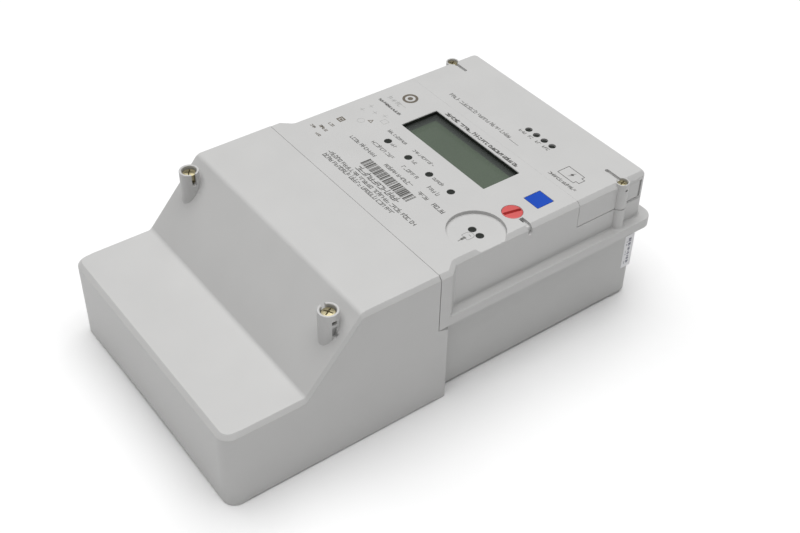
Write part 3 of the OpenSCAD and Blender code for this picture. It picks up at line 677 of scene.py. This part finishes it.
def face_bosses():
    """Bosses under the face that hold the knob, the optical port and the button."""
    return [
        peg(*KNOB, 79, LID_BITE, KNOB_BOSS),
        peg(PORT[0] - 3, PORT[1], 88.6, LID_BITE, PORT_BOSS),
        solid(square(BUTTON, BUTTON_BOSS), [(84, 0), (LID_BITE, 0)]),
    ]


def face_opening_tools():
    tools = [
        mouth(rectangle(*DISPLAY, 0.4, 0.4, 0.4, 0.4, 3), 85, FACE, 0.25),
        mouth(disc(*PORT, PORT_RADIUS, 96), PORT_FLOOR, FACE, 0.15),
        mouth(disc(*KNOB, KNOB_HOLE, 64), 88.8, FACE, 0.12),
        peg(*KNOB, 78, 89, KNOB_STEM_HOLE),
        mouth(square(BUTTON, BUTTON_HOLE, 0.5, 3), 83, FACE, 0.12),
    ]
    for offset in (-IR_OFFSET, IR_OFFSET):
        tools.append(mouth(disc(PORT[0] + offset, PORT[1], LAMP_HOLE, 32), 84, PORT_FLOOR, 0.08))
    tools += [mouth(disc(x, y, LAMP_HOLE, 32), LID - 1, FACE, 0.08) for x, y in PULSE_LAMPS]
    return tools


def build_front_cover():
    shell = solid(upper_outline(120.0), roof_levels(FLANGE_LOW + 0.1))
    cut(shell, box(-CLEAR_SIDE, CLEAR_SIDE, 110, SEAM + 0.1, 50, 100))
    join(shell, flange(), wall_foot(), lower_column(-1), lower_column(1))
    cut(shell, *front_room_tools())
    join(shell, *face_bosses())
    tools = face_opening_tools() + seal_channel_tools()
    x, z, diameter = PLUNGER_HOLE
    tools.append(peg_y(x, z, SEAM - 0.5, SEAM + 3.5, diameter))
    for side in (-1, 1):
        tools.append(peg(side * COLUMN[0], COLUMN[1], 64, 76, 3.1))
        wall = side * (HALF_BODY - 0.5)
        tools.append(box(wall - 2, wall + 2, 133, SEAM + 0.34, FLANGE_TOP - 8, CLEAR_FACE))
    cut(shell, *tools)
    return place(shell, "front_cover_shell", "root", "housing_light", ["front_cover"])


# ---------- Module cover ----------

GROOVE_HALF = 1.2
GROOVE_DEPTH = 1.74
COLUMN_BORE = 3.3

# Blanking plate in the right wall: recess and opening (stations, heights), then plate and plug
# (low and high x, stations, heights)
PLATE_RECESS = (274, 284.6, 76.2, 88.6)
PLATE_OPENING = (276, 281.8, 78.2, 86.6)
PLATE = (78.35, 79.45, 274.15, 282.9, 76.75, 88.5)
PLATE_PLUG = (77.0, 78.5, 276.2, 281.6, 78.4, 86.4)


def upper_column(side):
    outline = disc(side * COLUMN[0], COLUMN[1], COLUMN_RADIUS, 48)
    top = [(FACE - 0.3, 0), (FACE - 0.06, 0.1), (FACE, 0.35)]
    return solid(outline, [(MODULE_LOW, 0.25), (MODULE_LOW + 0.25, 0)] + top)


def upper_column_tools(side):
    """Screw bore, sealing groove in the face and cross hole of one column."""
    x, y = side * COLUMN[0], COLUMN[1]
    groove_ends = sorted((side * (COLUMN[0] - 14.1), side * (COLUMN[0] - 2.5)))
    groove = rectangle(*groove_ends, y - GROOVE_HALF, y + GROOVE_HALF, 1.15, 1.15, 1.15, 1.15, 5)
    hole_ends = sorted((side * 76, side * 84))
    return [
        mouth(disc(x, y, COLUMN_BORE, 40), 90, FACE, 0.25),
        peg(x, y, 74, 91, 3.3),
        mouth(groove, FACE - GROOVE_DEPTH, FACE, 0.1),
        peg_x(y, 88.8, *hole_ends, 1.8, 20),
    ]


def build_module_cover():
    shell = solid(
        rectangle(-HALF_UPPER, HALF_UPPER, 225, FAR_WALL, 0, 0, 5, 5, 6), roof_levels(MODULE_LOW + 0.22)
    )
    cut(
        shell,
        box(-CLEAR_SIDE, CLEAR_SIDE, 220, MODULE_NEAR - 0.06, 70, 100),
        solid(rectangle(-INNER_UPPER, INNER_UPPER, 230, FAR_INSIDE, 0, 0, 3, 3), [(74, 0), (LID, 0)]),
    )
    join(shell, upper_column(-1), upper_column(1))
    tools = upper_column_tools(-1) + upper_column_tools(1)
    tools += [mouth(disc(x, y, 2.25, 32), LID - 1, FACE, 0.1) for x, y in COMM_LAMPS]
    for side in (-1, 1):
        wall = side * (HALF_UPPER - 0.5)
        tools.append(box(wall - 2, wall + 2, 235, MODULE_NEAR + 0.16, 74, CLEAR_FACE))
    tools.append(box(78.3, 82, *PLATE_RECESS))
    tools.append(box(76, 82, *PLATE_OPENING))
    cut(shell, *tools)
    return place(shell, "module_cover_shell", "module_cover", "housing_light", ["module_cover"])


def build_side_plate():
    """Blanking plate in the right wall of the module cover."""
    plate = soft_box(*PLATE, 0.12, 0.25)
    join(plate, box(*PLATE_PLUG))
    return place(plate, "side_panel", "module_cover", "housing_light", ["side_blanking_plate"])


# ---------- Base ----------

BASE_NEAR = 66.0
BASE_FAR = 289.5
BASE_FLOOR = 5.0
BASE_TOP = 54.4
PILLAR_FOOT = 4.9
DIVIDER = (137.5, 140)
REAR_PADS = ((69, 9, 275, 284.5), (60, 10, 68, 78))    # middle x, half width, its two stations
LUGS = (-81.5, 81.5, 88, 118)    # low and high x, their two stations
CASE_SCREW_X = 68.0
CASE_SCREW_STATIONS = (150, 280)
STAND_X = 71.5
NUT_LOW = 32.8
FIXING_HOLE = (75.0, 104.0, 5.5)    # x, station, diameter


def base_body():
    outline = rectangle(-HALF_BASE, HALF_BASE, BASE_NEAR, BASE_FAR, 3, 3, 5, 5, 6)
    body = solid(outline, [(1.0, 0.9), (1.25, 0.35), (1.9, 0), (BASE_TOP, 0)])
    lugs = rectangle(*LUGS, 3, 3, 3, 3, 4)
    return join(body, solid(lugs, [(1.1, 0.6), (1.7, 0), (11.6, 0), (12, 0.4)]))


def base_room_tools():
    """The meter room, the terminal room, its open sides, and the gap in the wall between them."""
    above = BASE_TOP + 5.6
    levels = [(BASE_FLOOR, 0), (above, 0)]
    near, far = BASE_NEAR + WALL, BASE_FAR - WALL
    meter_room = rectangle(-INNER_BASE, INNER_BASE, DIVIDER[1], far, 2, 2, 3, 3, 4)
    terminal_room = rectangle(-INNER_BASE, INNER_BASE, near, DIVIDER[0], 1, 1, 1, 1, 3)
    return [
        solid(meter_room, levels),
        solid(terminal_room, levels),
        box(-CLEAR_SIDE, CLEAR_SIDE, BASE_NEAR - 6, DIVIDER[0], 12, above),
        box(-63.2, 63.2, DIVIDER[0] - 0.5, DIVIDER[1] + 1, BASE_FLOOR, above),
    ]


def base_parts(side):
    """Screw pillars, nut stand and rear pads of one side."""
    parts = [peg(side * CASE_SCREW_X, y, PILLAR_FOOT, 50, 9) for y in CASE_SCREW_STATIONS]
    parts.append(box(side * STAND_X - 6.5, side * STAND_X + 6.5, BASE_NEAR, 80, PILLAR_FOOT, 45))
    for x, half, near, far in REAR_PADS:
        outline = rectangle(side * x - half, side * x + half, near, far, 1, 1, 1, 1, 3)
        parts.append(solid(outline, [(0, 0.3), (0.3, 0), (1.2, 0)]))
    return parts


def base_tools(side):
    """Screw holes, nut slot with its shank slot, and fixing hole of one side."""
    tools = []
    for y in CASE_SCREW_STATIONS:
        tools.append(peg(side * CASE_SCREW_X, y, 0.8, 51, 3.7))
        tools.append(peg(side * CASE_SCREW_X, y, 0.8, 4, 7.4))
    middle = side * STAND_X
    tools.append(box(middle - 4.7, middle + 4.7, 65, 76.7, NUT_LOW, 40))
    shank_slot = rectangle(middle - 2.7, middle + 2.7, 60, 74.7, 0, 0, 2.65, 2.65)
    tools.append(solid(shank_slot, [(39.8, 0), (46, 0)]))
    x, y, diameter = FIXING_HOLE
    tools.append(peg(side * x, y, 0.8, 13, diameter))
    tools.append(box(side * x - 4.75, side * x + 4.75, 98, 110, 5, 13))
    return tools


def build_base():
    shell = base_body()
    cut(shell, *base_room_tools())
    join(shell, *base_parts(-1), *base_parts(1))
    hanger_pocket = [
        solid(rectangle(-12.3, 12.3, 228, 292, 1, 1, 0, 0, 3), [(0.8, 0), (2.2, 0)]),
        box(-15.3, 15.3, 228, 292, 2, 3.9),
    ]
    cut(shell, *hanger_pocket, *base_tools(-1), *base_tools(1))
    return place(shell, "base_shell", "root", "base_light", ["base_case"])


# ---------- Screws ----------

def screw(x, y, levels, cross, cross_top, cross_depth, turn):
    """Turned screw with a cross recess in its head, turned by an angle in degrees."""
    body = turned(x, y, levels, 44)
    arms = []
    for quarter in (0, 90):
        arm = solid(
            rectangle(-cross / 2, cross / 2, -0.42, 0.42, 0.2, 0.2, 0.2, 0.2, 2),
            [(cross_top - cross_depth, 0.25), (cross_top + 0.4, 0)],
        )
        spin = Matrix.Rotation(math.radians(turn + quarter), 4, "Z")
        arm.data.transform(Matrix.Translation((x, y, 0)) @ spin)
        arms.append(arm)
    return cut(body, *arms)


def build_cover_screw(side, name):
    x, y = side * COVER_SCREW[0], COVER_SCREW[1]
    shank = [(36, 1.4), (36.6, 2.0), (86.1, 2.0)]
    head = [(86.1, 3.7), (86.3, 4.0), (90.7, 4.0), (91.2, 3.7), (91.5, 2.6), (91.6, 1.2)]
    body = screw(x, y, shank + head, 5.6, 91.5, 1.5, 30 if side > 0 else 55)
    seal_hole = peg_x(y, 87.2, x - 5, x + 5, 1.4, 20)
    cut(body, seal_hole)
    return place(body, name + "_turned", name, "zinc_yellow", [name])


def build_module_screw(side, name):
    x, y = side * COLUMN[0], COLUMN[1]
    shank = [(66, 1.0), (66.5, 1.5), (90, 1.5)]
    head = [(90, 2.9), (90.15, 3.1), (91.3, 3.1), (91.8, 2.6), (92, 1.6)]
    body = screw(x, y, shank + head, 4.2, 91.95, 1.3, 20 if side > 0 else 40)
    return place(body, name + "_turned", name, "zinc_yellow", [name])


# ---------- Display, button, knob and lamps ----------

GLASS_TOP = 87.0
RING_OVERCUT = 0.2
BUTTON_HALF = 5.9
KNOB_SLOT_ANGLE = 78.0


def grown(near_side, far_side, near_end, far_end, corner=0.0, steps=6):
    """Rectangle around the display opening, with each edge moved outwards."""
    x0, x1, y0, y1 = DISPLAY
    corners = (corner, corner, corner, corner)
    return rectangle(x0 - near_side, x1 + far_side, y0 - near_end, y1 + far_end, *corners, steps)


def display_ring(name, outer, inner, low, high, look_name):
    """Dark ring between two outlines, used around the display opening as painted shade."""
    ring = solid(outer, [(low, 0), (high, 0)])
    cut(ring, solid(inner, [(low - RING_OVERCUT, 0), (high + RING_OVERCUT, 0)]))
    place(ring, name, "root", "lcd_glass", material=LOOKS[look_name])


def build_display():
    x0, x1, y0, _ = DISPLAY
    glass = soft_box(x0 - 2, x1 + 2, y0 - 3, y0 + 28.5, 84.6, GLASS_TOP, 0.12, 0.4)
    place(glass, "display_glass", "root", "lcd_glass", ["lcd_panel"])
    # Painted shadow: a dark band on the glass along the left and far edges of the opening, where the
    # lid's shadow falls.
    display_ring(
        "display_painted_shadow_band", grown(1.9, 1.9, 2.9, 1.9), grown(-1.6, 1.2, 2.2, -1.4, 1, 4),
        GLASS_TOP, GLASS_TOP + 0.03, "dark_plastic",
    )
    pane = soft_box(x0 - 3, x1 + 3, y0 - 3, y0 + 31, 89, LID - 0.02, 0.1, 0.5)
    place(pane, "display_pane", "root", "clear_window", ["lcd_window"])
    # Painted shade: a thin dark lining on the walls of the display opening, which stand in shade.
    display_ring(
        "display_opening_painted_shade", grown(-0.03, -0.03, -0.03, -0.03, 0.4, 3), grown(-0.3, -0.3, -0.3, -0.3),
        LID + 0.02, 92.3, "dark_plastic",
    )
    # Painted shade: a black ring under the lid around the opening, darkening what is seen in under its
    # edges.
    display_ring(
        "display_under_lid_painted_shade", grown(3.4, 3.4, 3.6, 6.4), grown(0.6, 0.6, 0.7, 5.2),
        87.3, 88.95, "component_black",
    )


def build_button():
    x, y = BUTTON
    cap = solid(
        square(BUTTON, BUTTON_HALF, 0.7, 4),
        [(82.6, 0), (92.6, 0), (92.82, 0.08), (92.9, 0.3)],
    )
    collar = soft_box(x - 7.2, x + 7.2, y - 7.2, y + 7.2, 81, 82.7, 0.2, 0.8)
    stem = peg(x, y, 73.4, 81.2, 6)
    join(cap, collar, stem)
    return place(cap, "display_button_cap", "display_button", "blue_plastic", ["display_button"])


def build_knob():
    x, y = KNOB
    stem = [(70, 3.3), (70.3, 3.5), (89, 3.5)]
    disc_levels = [(89, 5.8), (89.2, 6.0), (92.5, 6.0), (92.78, 5.88), (92.88, 5.6), (92.9, 5.2)]
    head = turned(x, y, stem + disc_levels, 64)
    cam = peg(x + 1.2, y, 69, 73, 7.2)
    join(head, cam)
    slot = solid(
        rectangle(-5.45, 5.45, -1.0, 1.0, 0.4, 0.4, 0.4, 0.4, 3),
        [(91.3, 0.12), (92.7, 0), (93.4, -0.3)],
    )
    spin = Matrix.Rotation(math.radians(KNOB_SLOT_ANGLE), 4, "Z")
    slot.data.transform(Matrix.Translation((x, y, 0)) @ spin)
    clip_groove = turned(x, y, [(77.6, 4.4), (78.6, 4.4)], 40)
    cut(clip_groove, peg(x, y, 77.5, 78.7, 5.8))
    cut(head, slot, clip_groove)
    return place(head, "reset_knob_turned", "reset_knob", "red_plastic", ["reset_knob"])


def build_pulse_lamps():
    guide = [(63.7, 1.8), (63.9, 2.0), (84, 2.0), (84, 3.2), (84.1, 3.3), (85, 3.3), (85, 2.3)]
    dome = [(92.5, 2.3), (92.72, 2.15), (92.78, 1.5), (92.8, 0.3)]
    for number, (x, y) in enumerate(PULSE_LAMPS, start=1):
        lens = turned(x, y, guide + dome, 32)
        place(lens, f"pulse_lamp_{number}", "root", "dark_plastic", [f"pulse_lamp_lens_{number}"])


def build_comm_lamps():
    levels = [(89, 2.0), (89.1, 2.12), (91.5, 2.12), (91.85, 1.95), (92.0, 1.4), (92.02, 0.3)]
    pegs = [turned(x, y, levels, 32) for x, y in COMM_LAMPS]
    first_x, last_x = COMM_LAMPS[0][0], COMM_LAMPS[-1][0]
    bar = soft_box(first_x - 4.5, last_x + 4.5, 255, 263, 88.6, 90.3, 0.2, 0.6)
    join(bar, *pegs)
    place(bar, "comm_lamp_guide", "module_cover", "dark_plastic", ["comm_light_guide"])


def build_ir_windows():
    guide = [(63.7, 2.0), (63.9, 2.2), (84.6, 2.2), (84.6, 2.32), (90.35, 2.32)]
    dome = [(90.53, 2.15), (90.59, 1.5), (90.6, 0.4)]
    for name, offset in (("ir_window_left", -IR_OFFSET), ("ir_window_right", IR_OFFSET)):
        window = turned(PORT[0] + offset, PORT[1], guide + dome, 32)
        place(window, name + "_dome", "root", "dark_plastic", [name])


# ---------- Printing on the face ----------

INK_LOW = FACE - 0.02

# Made-up signs, as shares of their size: the height of a low one, and the gaps after one
# sign and after one word. The chances are those of a sign's two upright strokes.
LOW_SIGN = 0.72
SIGN_GAP = 0.26
WORD_GAP = 0.35
WORD_LENGTHS = (3, 7)
LEFT_STROKE_CHANCE = 0.75
RIGHT_STROKE_CHANCE = 0.6


class Ink:
    """A thin printed layer, gathered as prisms in one mesh between two heights."""

    def __init__(self, low=INK_LOW, high=INK_TOP):
        self.low, self.high = low, high
        self.bm = bmesh.new()

    def ring_of_verts(self, outline, height):
        return [self.bm.verts.new((p.x, p.y, height)) for p in outline]

    def fill(self, outline):
        low, high = (self.ring_of_verts(outline, z) for z in (self.low, self.high))
        self.walls(low, high)
        self.bm.faces.new(list(reversed(low)))
        self.bm.faces.new(high)

    def walls(self, low, high):
        for i in range(len(low)):
            j = (i + 1) % len(low)
            self.bm.faces.new((low[i], low[j], high[j], high[i]))

    def band(self, outline, width):
        """Closed line of the given width along the inside of an outline."""
        inner = inset(outline, width)
        low_out, high_out = (self.ring_of_verts(outline, z) for z in (self.low, self.high))
        low_in, high_in = (self.ring_of_verts(inner, z) for z in (self.low, self.high))
        self.walls(low_out, high_out)
        self.walls(list(reversed(low_in)), list(reversed(high_in)))
        for i in range(len(outline)):
            j = (i + 1) % len(outline)
            self.bm.faces.new((high_out[i], high_out[j], high_in[j], high_in[i]))
            self.bm.faces.new((low_out[j], low_out[i], low_in[i], low_in[j]))

    def stroke(self, x0, y0, x1, y1, width):
        start, end = Vector((x0, y0)), Vector((x1, y1))
        along = (end - start).normalized()
        side = Vector((-along.y, along.x)) * (width / 2)
        start, end = start - along * (width / 2), end + along * (width / 2)
        self.fill([start - side, end - side, end + side, start + side])

    def sign(self, x, y, size, width, dice):
        """One made-up sign of a few strokes, which stands for a letter without being one."""
        tall = size * dice.choice((LOW_SIGN, LOW_SIGN, 1.0))
        wide = size * dice.uniform(0.42, 0.56)
        if dice.random() < LEFT_STROKE_CHANCE:
            self.stroke(x, y, x, y + tall, width)
        if dice.random() < RIGHT_STROKE_CHANCE:
            self.stroke(x + wide, y, x + wide, y + size * LOW_SIGN, width)
        for height in dice.sample((0.0, LOW_SIGN / 2, LOW_SIGN), dice.choice((1, 2, 2))):
            self.stroke(x, y + size * height, x + wide, y + size * height, width)
        return wide

    def line(self, x0, x1, y, size, seed, width, spaced=True):
        """A line of made-up signs between x0 and x1, y being its middle height."""
        dice = random.Random(seed)
        x = x0
        left_in_word = dice.randint(*WORD_LENGTHS)
        while x < x1 - size * 0.4:
            x += self.sign(x, y - size * 0.4, size, width, dice) + size * SIGN_GAP
            left_in_word -= 1
            if spaced and left_in_word == 0:
                x += size * WORD_GAP
                left_in_word = dice.randint(*WORD_LENGTHS)

    def done(self):
        return new_object(self.bm)


# Lines of made-up signs on the face: from x, to x, station, size, seed, stroke width
TITLE_LINE = (-33.4, 33.1, 228.9, 2.7, 11, 0.55)
RATING_LINES = (
    (-34.8, -13.4, 174.7, 2.9, 12, 0.34),
    (-4.8, 9.7, 174.7, 2.9, 13, 0.34),
    (19.4, 29.1, 174.7, 2.9, 14, 0.34),
    (-46.5, -19.5, 167.4, 2.9, 15, 0.36),
    (-11.8, 14.7, 167.4, 2.9, 16, 0.36),
    (20.0, 28.8, 167.4, 2.9, 17, 0.36),
    (33.5, 45.7, 167.4, 3.4, 18, 0.42),
)
LAMP_LINES = (
    (-38.7, -19.5, 189.3, 2.3, 19, 0.28),
    (-13.9, 6.9, 189.3, 2.3, 20, 0.28),
    (-26.5, -21.5, 182.2, 2.2, 21, 0.26),
    (-6.4, -1.4, 182.2, 2.2, 22, 0.26),
    (14.4, 23.5, 182.2, 2.4, 23, 0.28),
)
BARCODE_LINE = (-19, 22.5, 152.9, 4.1, 24, 0.5)
FOOT_LINES = (
    (-41.7, 44.1, 148.2, 3.0, 25, 0.40),
    (-40.7, 29.4, 144.2, 3.0, 26, 0.40),
    (-69.7, -48.5, 204.6, 1.9, 28, 0.36),
)
MARK_LINES = (
    (-65.6, -60.4, 164.6, 2.2, 31, 0.36),
    (-66.4, -58.6, 158.6, 2.2, 32, 0.5),
    (-70.5, -66.5, 154.6, 2.0, 33, 0.34),
    (-61.6, -57.0, 152.4, 2.0, 34, 0.34),
)
RINGS_MARK = (-59.1, 220.4)


def print_barcode(ink):
    """An invented barcode, with bars and gaps of random width."""
    dice = random.Random(40)
    x = -21.5
    while x < 23.6:
        thick = dice.choice((0.42, 0.42, 0.8, 1.15))
        ink.fill(rectangle(x, x + thick, 156.2, 163.5))
        x += thick + dice.choice((0.34, 0.34, 0.62, 0.9))


def build_face_print():
    ink = Ink()
    for line in (TITLE_LINE, *RATING_LINES, *LAMP_LINES):
        ink.line(*line)
    ink.line(*BARCODE_LINE, spaced=False)
    for line in FOOT_LINES:
        ink.line(*line)
    print_barcode(ink)
    place(ink.done(), "face_print", "root", "housing_light", material=INK)


def build_pale_print():
    ink = Ink()
    for x, y in ((-66, 195.6), (-59, 193.4), (-66.4, 189.2), (-52.4, 196.2)):
        ink.stroke(x - 1.8, y, x + 1.8, y, 0.3)
        ink.stroke(x, y - 1.6, x, y + 1.6, 0.3)
    ink.band(rectangle(-49.8, -45.4, 190.4, 194.6), 0.3)
    ink.band(disc(-57.0, 181.6, 2.4), 0.3)
    ink.line(-68.0, -50.5, 210.8, 3.6, 27, 0.34)
    place(ink.done(), "face_pale_print", "root", "housing_light", material=PALE_INK)


def build_marks():
    ink = Ink()
    ink.band(disc(*RINGS_MARK, 5.0), 1.7)
    ink.fill(disc(*RINGS_MARK, 1.7))
    ink.band(rectangle(-67.0, -62.6, 170.2, 174.6), 0.9)
    ink.fill(rectangle(-65.6, -64.0, 171.6, 173.2))
    triangle = ((-54.8, 184.8), (-51.0, 184.8), (-52.9, 188.2))
    ink.band([Vector(p) for p in triangle], 0.5)
    for line in MARK_LINES:
        ink.line(*line)
    place(ink.done(), "face_marks", "root", "housing_light", material=MARK_INK)


def build_port_print():
    """Plug symbol in the recess of the optical port."""
    ink = Ink(PORT_FLOOR - 0.02, PORT_FLOOR + 0.04)
    plug = rounded([(61.4, 165.0, 0.8), (67.1, 165.0, 0.8), (67.1, 171.2, 2.6), (61.4, 171.2, 2.6)], 5)
    ink.band(plug, 0.26)
    ink.stroke(63.8, 168.7, 65.4, 168.7, 0.35)
    ink.stroke(64.3, 165.0, 64.4, 163.4, 1.7)
    ink.stroke(64.4, 163.4, 64.6, 160.6, 0.55)
    place(ink.done(), "port_print", "root", "housing_light", material=PORT_INK)


def battery_symbol(ink):
    case = [(50.0, 244.6, 0.3), (63.6, 244.6, 0.3)]
    cap = [(63.6, 246.7, 0), (66.0, 246.7, 0), (66.0, 251.6, 0), (63.6, 251.6, 0)]
    case_end = [(63.6, 253.8, 0.3), (50.0, 253.8, 0.3)]
    ink.band(rounded(case + cap + case_end, 2), 0.38)
    bolt = ((58.4, 252.2), (56.2, 249.0), (57.5, 249.0), (56.6, 246.6), (58.9, 249.9), (57.6, 249.9))
    ink.fill([Vector(p) for p in bolt])


def build_module_print():
    ink = Ink()
    ink.line(-48.9, 8.5, 244.2, 2.9, 51, 0.34)
    ink.stroke(9.5, 242.7, 17.4, 242.7, 0.25)
    lamp_captions = ((5.4, 10.6), (13.6, 16.6), (20.2, 24.2), (26.4, 31.6))
    for i, (x0, x1) in enumerate(lamp_captions):
        ink.line(x0, x1, 254.6, 2.5, 52 + i, 0.32)
    ink.line(47.8, 69.5, 240.6, 2.4, 61, 0.34)
    battery_symbol(ink)
    place(ink.done(), "module_print", "module_cover", "housing_light", material=INK)


def sticker_mark(y0, y1, z0, z1):
    """One printed bar on the side sticker."""
    bar = rectangle(y0, y1, z0, z1)
    return solid(bar, [(HALF_BASE + 0.15, 0), (HALF_BASE + 0.19, 0)], "x")


def build_sticker():
    outline = rectangle(281, 288.5, 21, 46, 0.5, 0.5, 0.5, 0.5, 3)
    paper = solid(outline, [(HALF_BASE - 0.05, 0), (HALF_BASE + 0.16, 0)], "x")
    place(paper, "side_sticker", "root", "sticker_paper", ["barcode_sticker"])
    dice = random.Random(70)
    bars = []
    z = 24.0
    while z < 44.0:
        tall = dice.choice((0.5, 0.9, 1.3))
        wide = dice.uniform(1.2, 2.2)
        bars.append(sticker_mark(285.2 - wide / 2, 285.2 + wide / 2, z, z + tall))
        if dice.random() < 0.5:
            bars.append(sticker_mark(282.6, 283.3, z, z + tall * 0.7))
        z += tall + dice.choice((0.4, 0.7, 1.1))
    place(merge(bars), "side_sticker_marks", "root", "sticker_paper", material=STICKER_INK)


# ---------- Carried-over CAD pieces ----------

CAD_WELD = 0.001 * MM
CAD_EDGE = 0.18 * MM


def dress_cad_nodes():
    """Gives every CAD node its finish, and those still shown slightly rounded edges."""
    for name, node in frame["nodes"].items():
        node.data.materials.clear()
        node.data.materials.append(LOOKS[SLOT_OF[name]])
        if node.hide_render:
            continue
        weld = node.modifiers.new("weld", "WELD")
        weld.merge_threshold = CAD_WELD
        flat_faces = node.modifiers.new("flat", "DECIMATE")
        flat_faces.decimate_type = "DISSOLVE"
        flat_faces.angle_limit = math.radians(0.5)
        edges = node.modifiers.new("edges", "BEVEL")
        edges.width = CAD_EDGE
        edges.segments = 2
        edges.limit_method = "ANGLE"
        edges.angle_limit = math.radians(40)
        normals = node.modifiers.new("normals", "WEIGHTED_NORMAL")
        normals.keep_sharp = True


# ---------- Stage, in metres ----------

FLOOR_SIZE = 6.0
LIGHT_AIM = (0, 0, 0.05)
WORLD_STRENGTH = 0.19
LENS = 55.634
CAMERA_PLACE = (0.454818, -0.321868, 0.514535)
CAMERA_RIGHT = (0.59131678, 0.80621913, 0.01884593)
CAMERA_FORWARD = (-0.60316008, 0.45765472, -0.65326111)


def build_floor():
    bm = bmesh.new()
    bmesh.ops.create_grid(bm, x_segments=1, y_segments=1, size=FLOOR_SIZE)
    floor = new_object(bm, "floor")
    floor.location = (0, 0, -0.2 * MM)
    paper = look("floor_paper", (0.95, 0.95, 0.95), 0.7, vary=0.004, depth=0.02, specular=0.2)
    floor.data.materials.append(paper)


def softbox(name, location, width, height, power):
    light = bpy.data.lights.new(name, "AREA")
    light.shape = "RECTANGLE"
    light.size, light.size_y = width, height
    light.energy = power
    thing = bpy.data.objects.new(name, light)
    bpy.context.scene.collection.objects.link(thing)
    thing.location = location
    thing.rotation_mode = "QUATERNION"
    towards = Vector(LIGHT_AIM) - Vector(location)
    thing.rotation_quaternion = towards.to_track_quat("-Z", "Y")


def build_world():
    world = bpy.data.worlds.new("studio")
    world.use_nodes = True
    background = world.node_tree.nodes["Background"]
    background.inputs["Color"].default_value = (1, 1, 1, 1)
    background.inputs["Strength"].default_value = WORLD_STRENGTH
    bpy.context.scene.world = world


def build_camera():
    camera = bpy.data.cameras.new("camera")
    camera.lens = LENS
    camera.sensor_width = 36.0
    camera.clip_start, camera.clip_end = 0.01, 50
    thing = bpy.data.objects.new("camera", camera)
    bpy.context.scene.collection.objects.link(thing)
    right, forward = Vector(CAMERA_RIGHT), Vector(CAMERA_FORWARD)
    up = right.cross(forward).normalized()
    turn = Matrix((right, up, -forward)).transposed().to_4x4()
    thing.matrix_world = Matrix.Translation(CAMERA_PLACE) @ turn
    bpy.context.scene.camera = thing


# ---------- Everything, in order ----------

build_terminal_cover()
build_front_cover()
build_module_cover()
build_side_plate()
build_base()
for side, word in ((-1, "left"), (1, "right")):
    build_cover_screw(side, f"terminal_cover_screw_{word}")
    build_module_screw(side, f"module_cover_screw_{word}")
build_display()
build_button()
build_knob()
build_pulse_lamps()
build_comm_lamps()
build_ir_windows()
build_face_print()
build_pale_print()
build_marks()
build_port_print()
build_module_print()
build_sticker()
dress_cad_nodes()
build_floor()
softbox("key", (-0.25, 0.1, 2.8), 3.4, 3.4, 105)
softbox("fill", (0.9, -1.9, 0.8), 1.6, 1.2, 0.5)
build_world()
build_camera()
bpy.context.scene.view_settings.view_transform = "Standard"
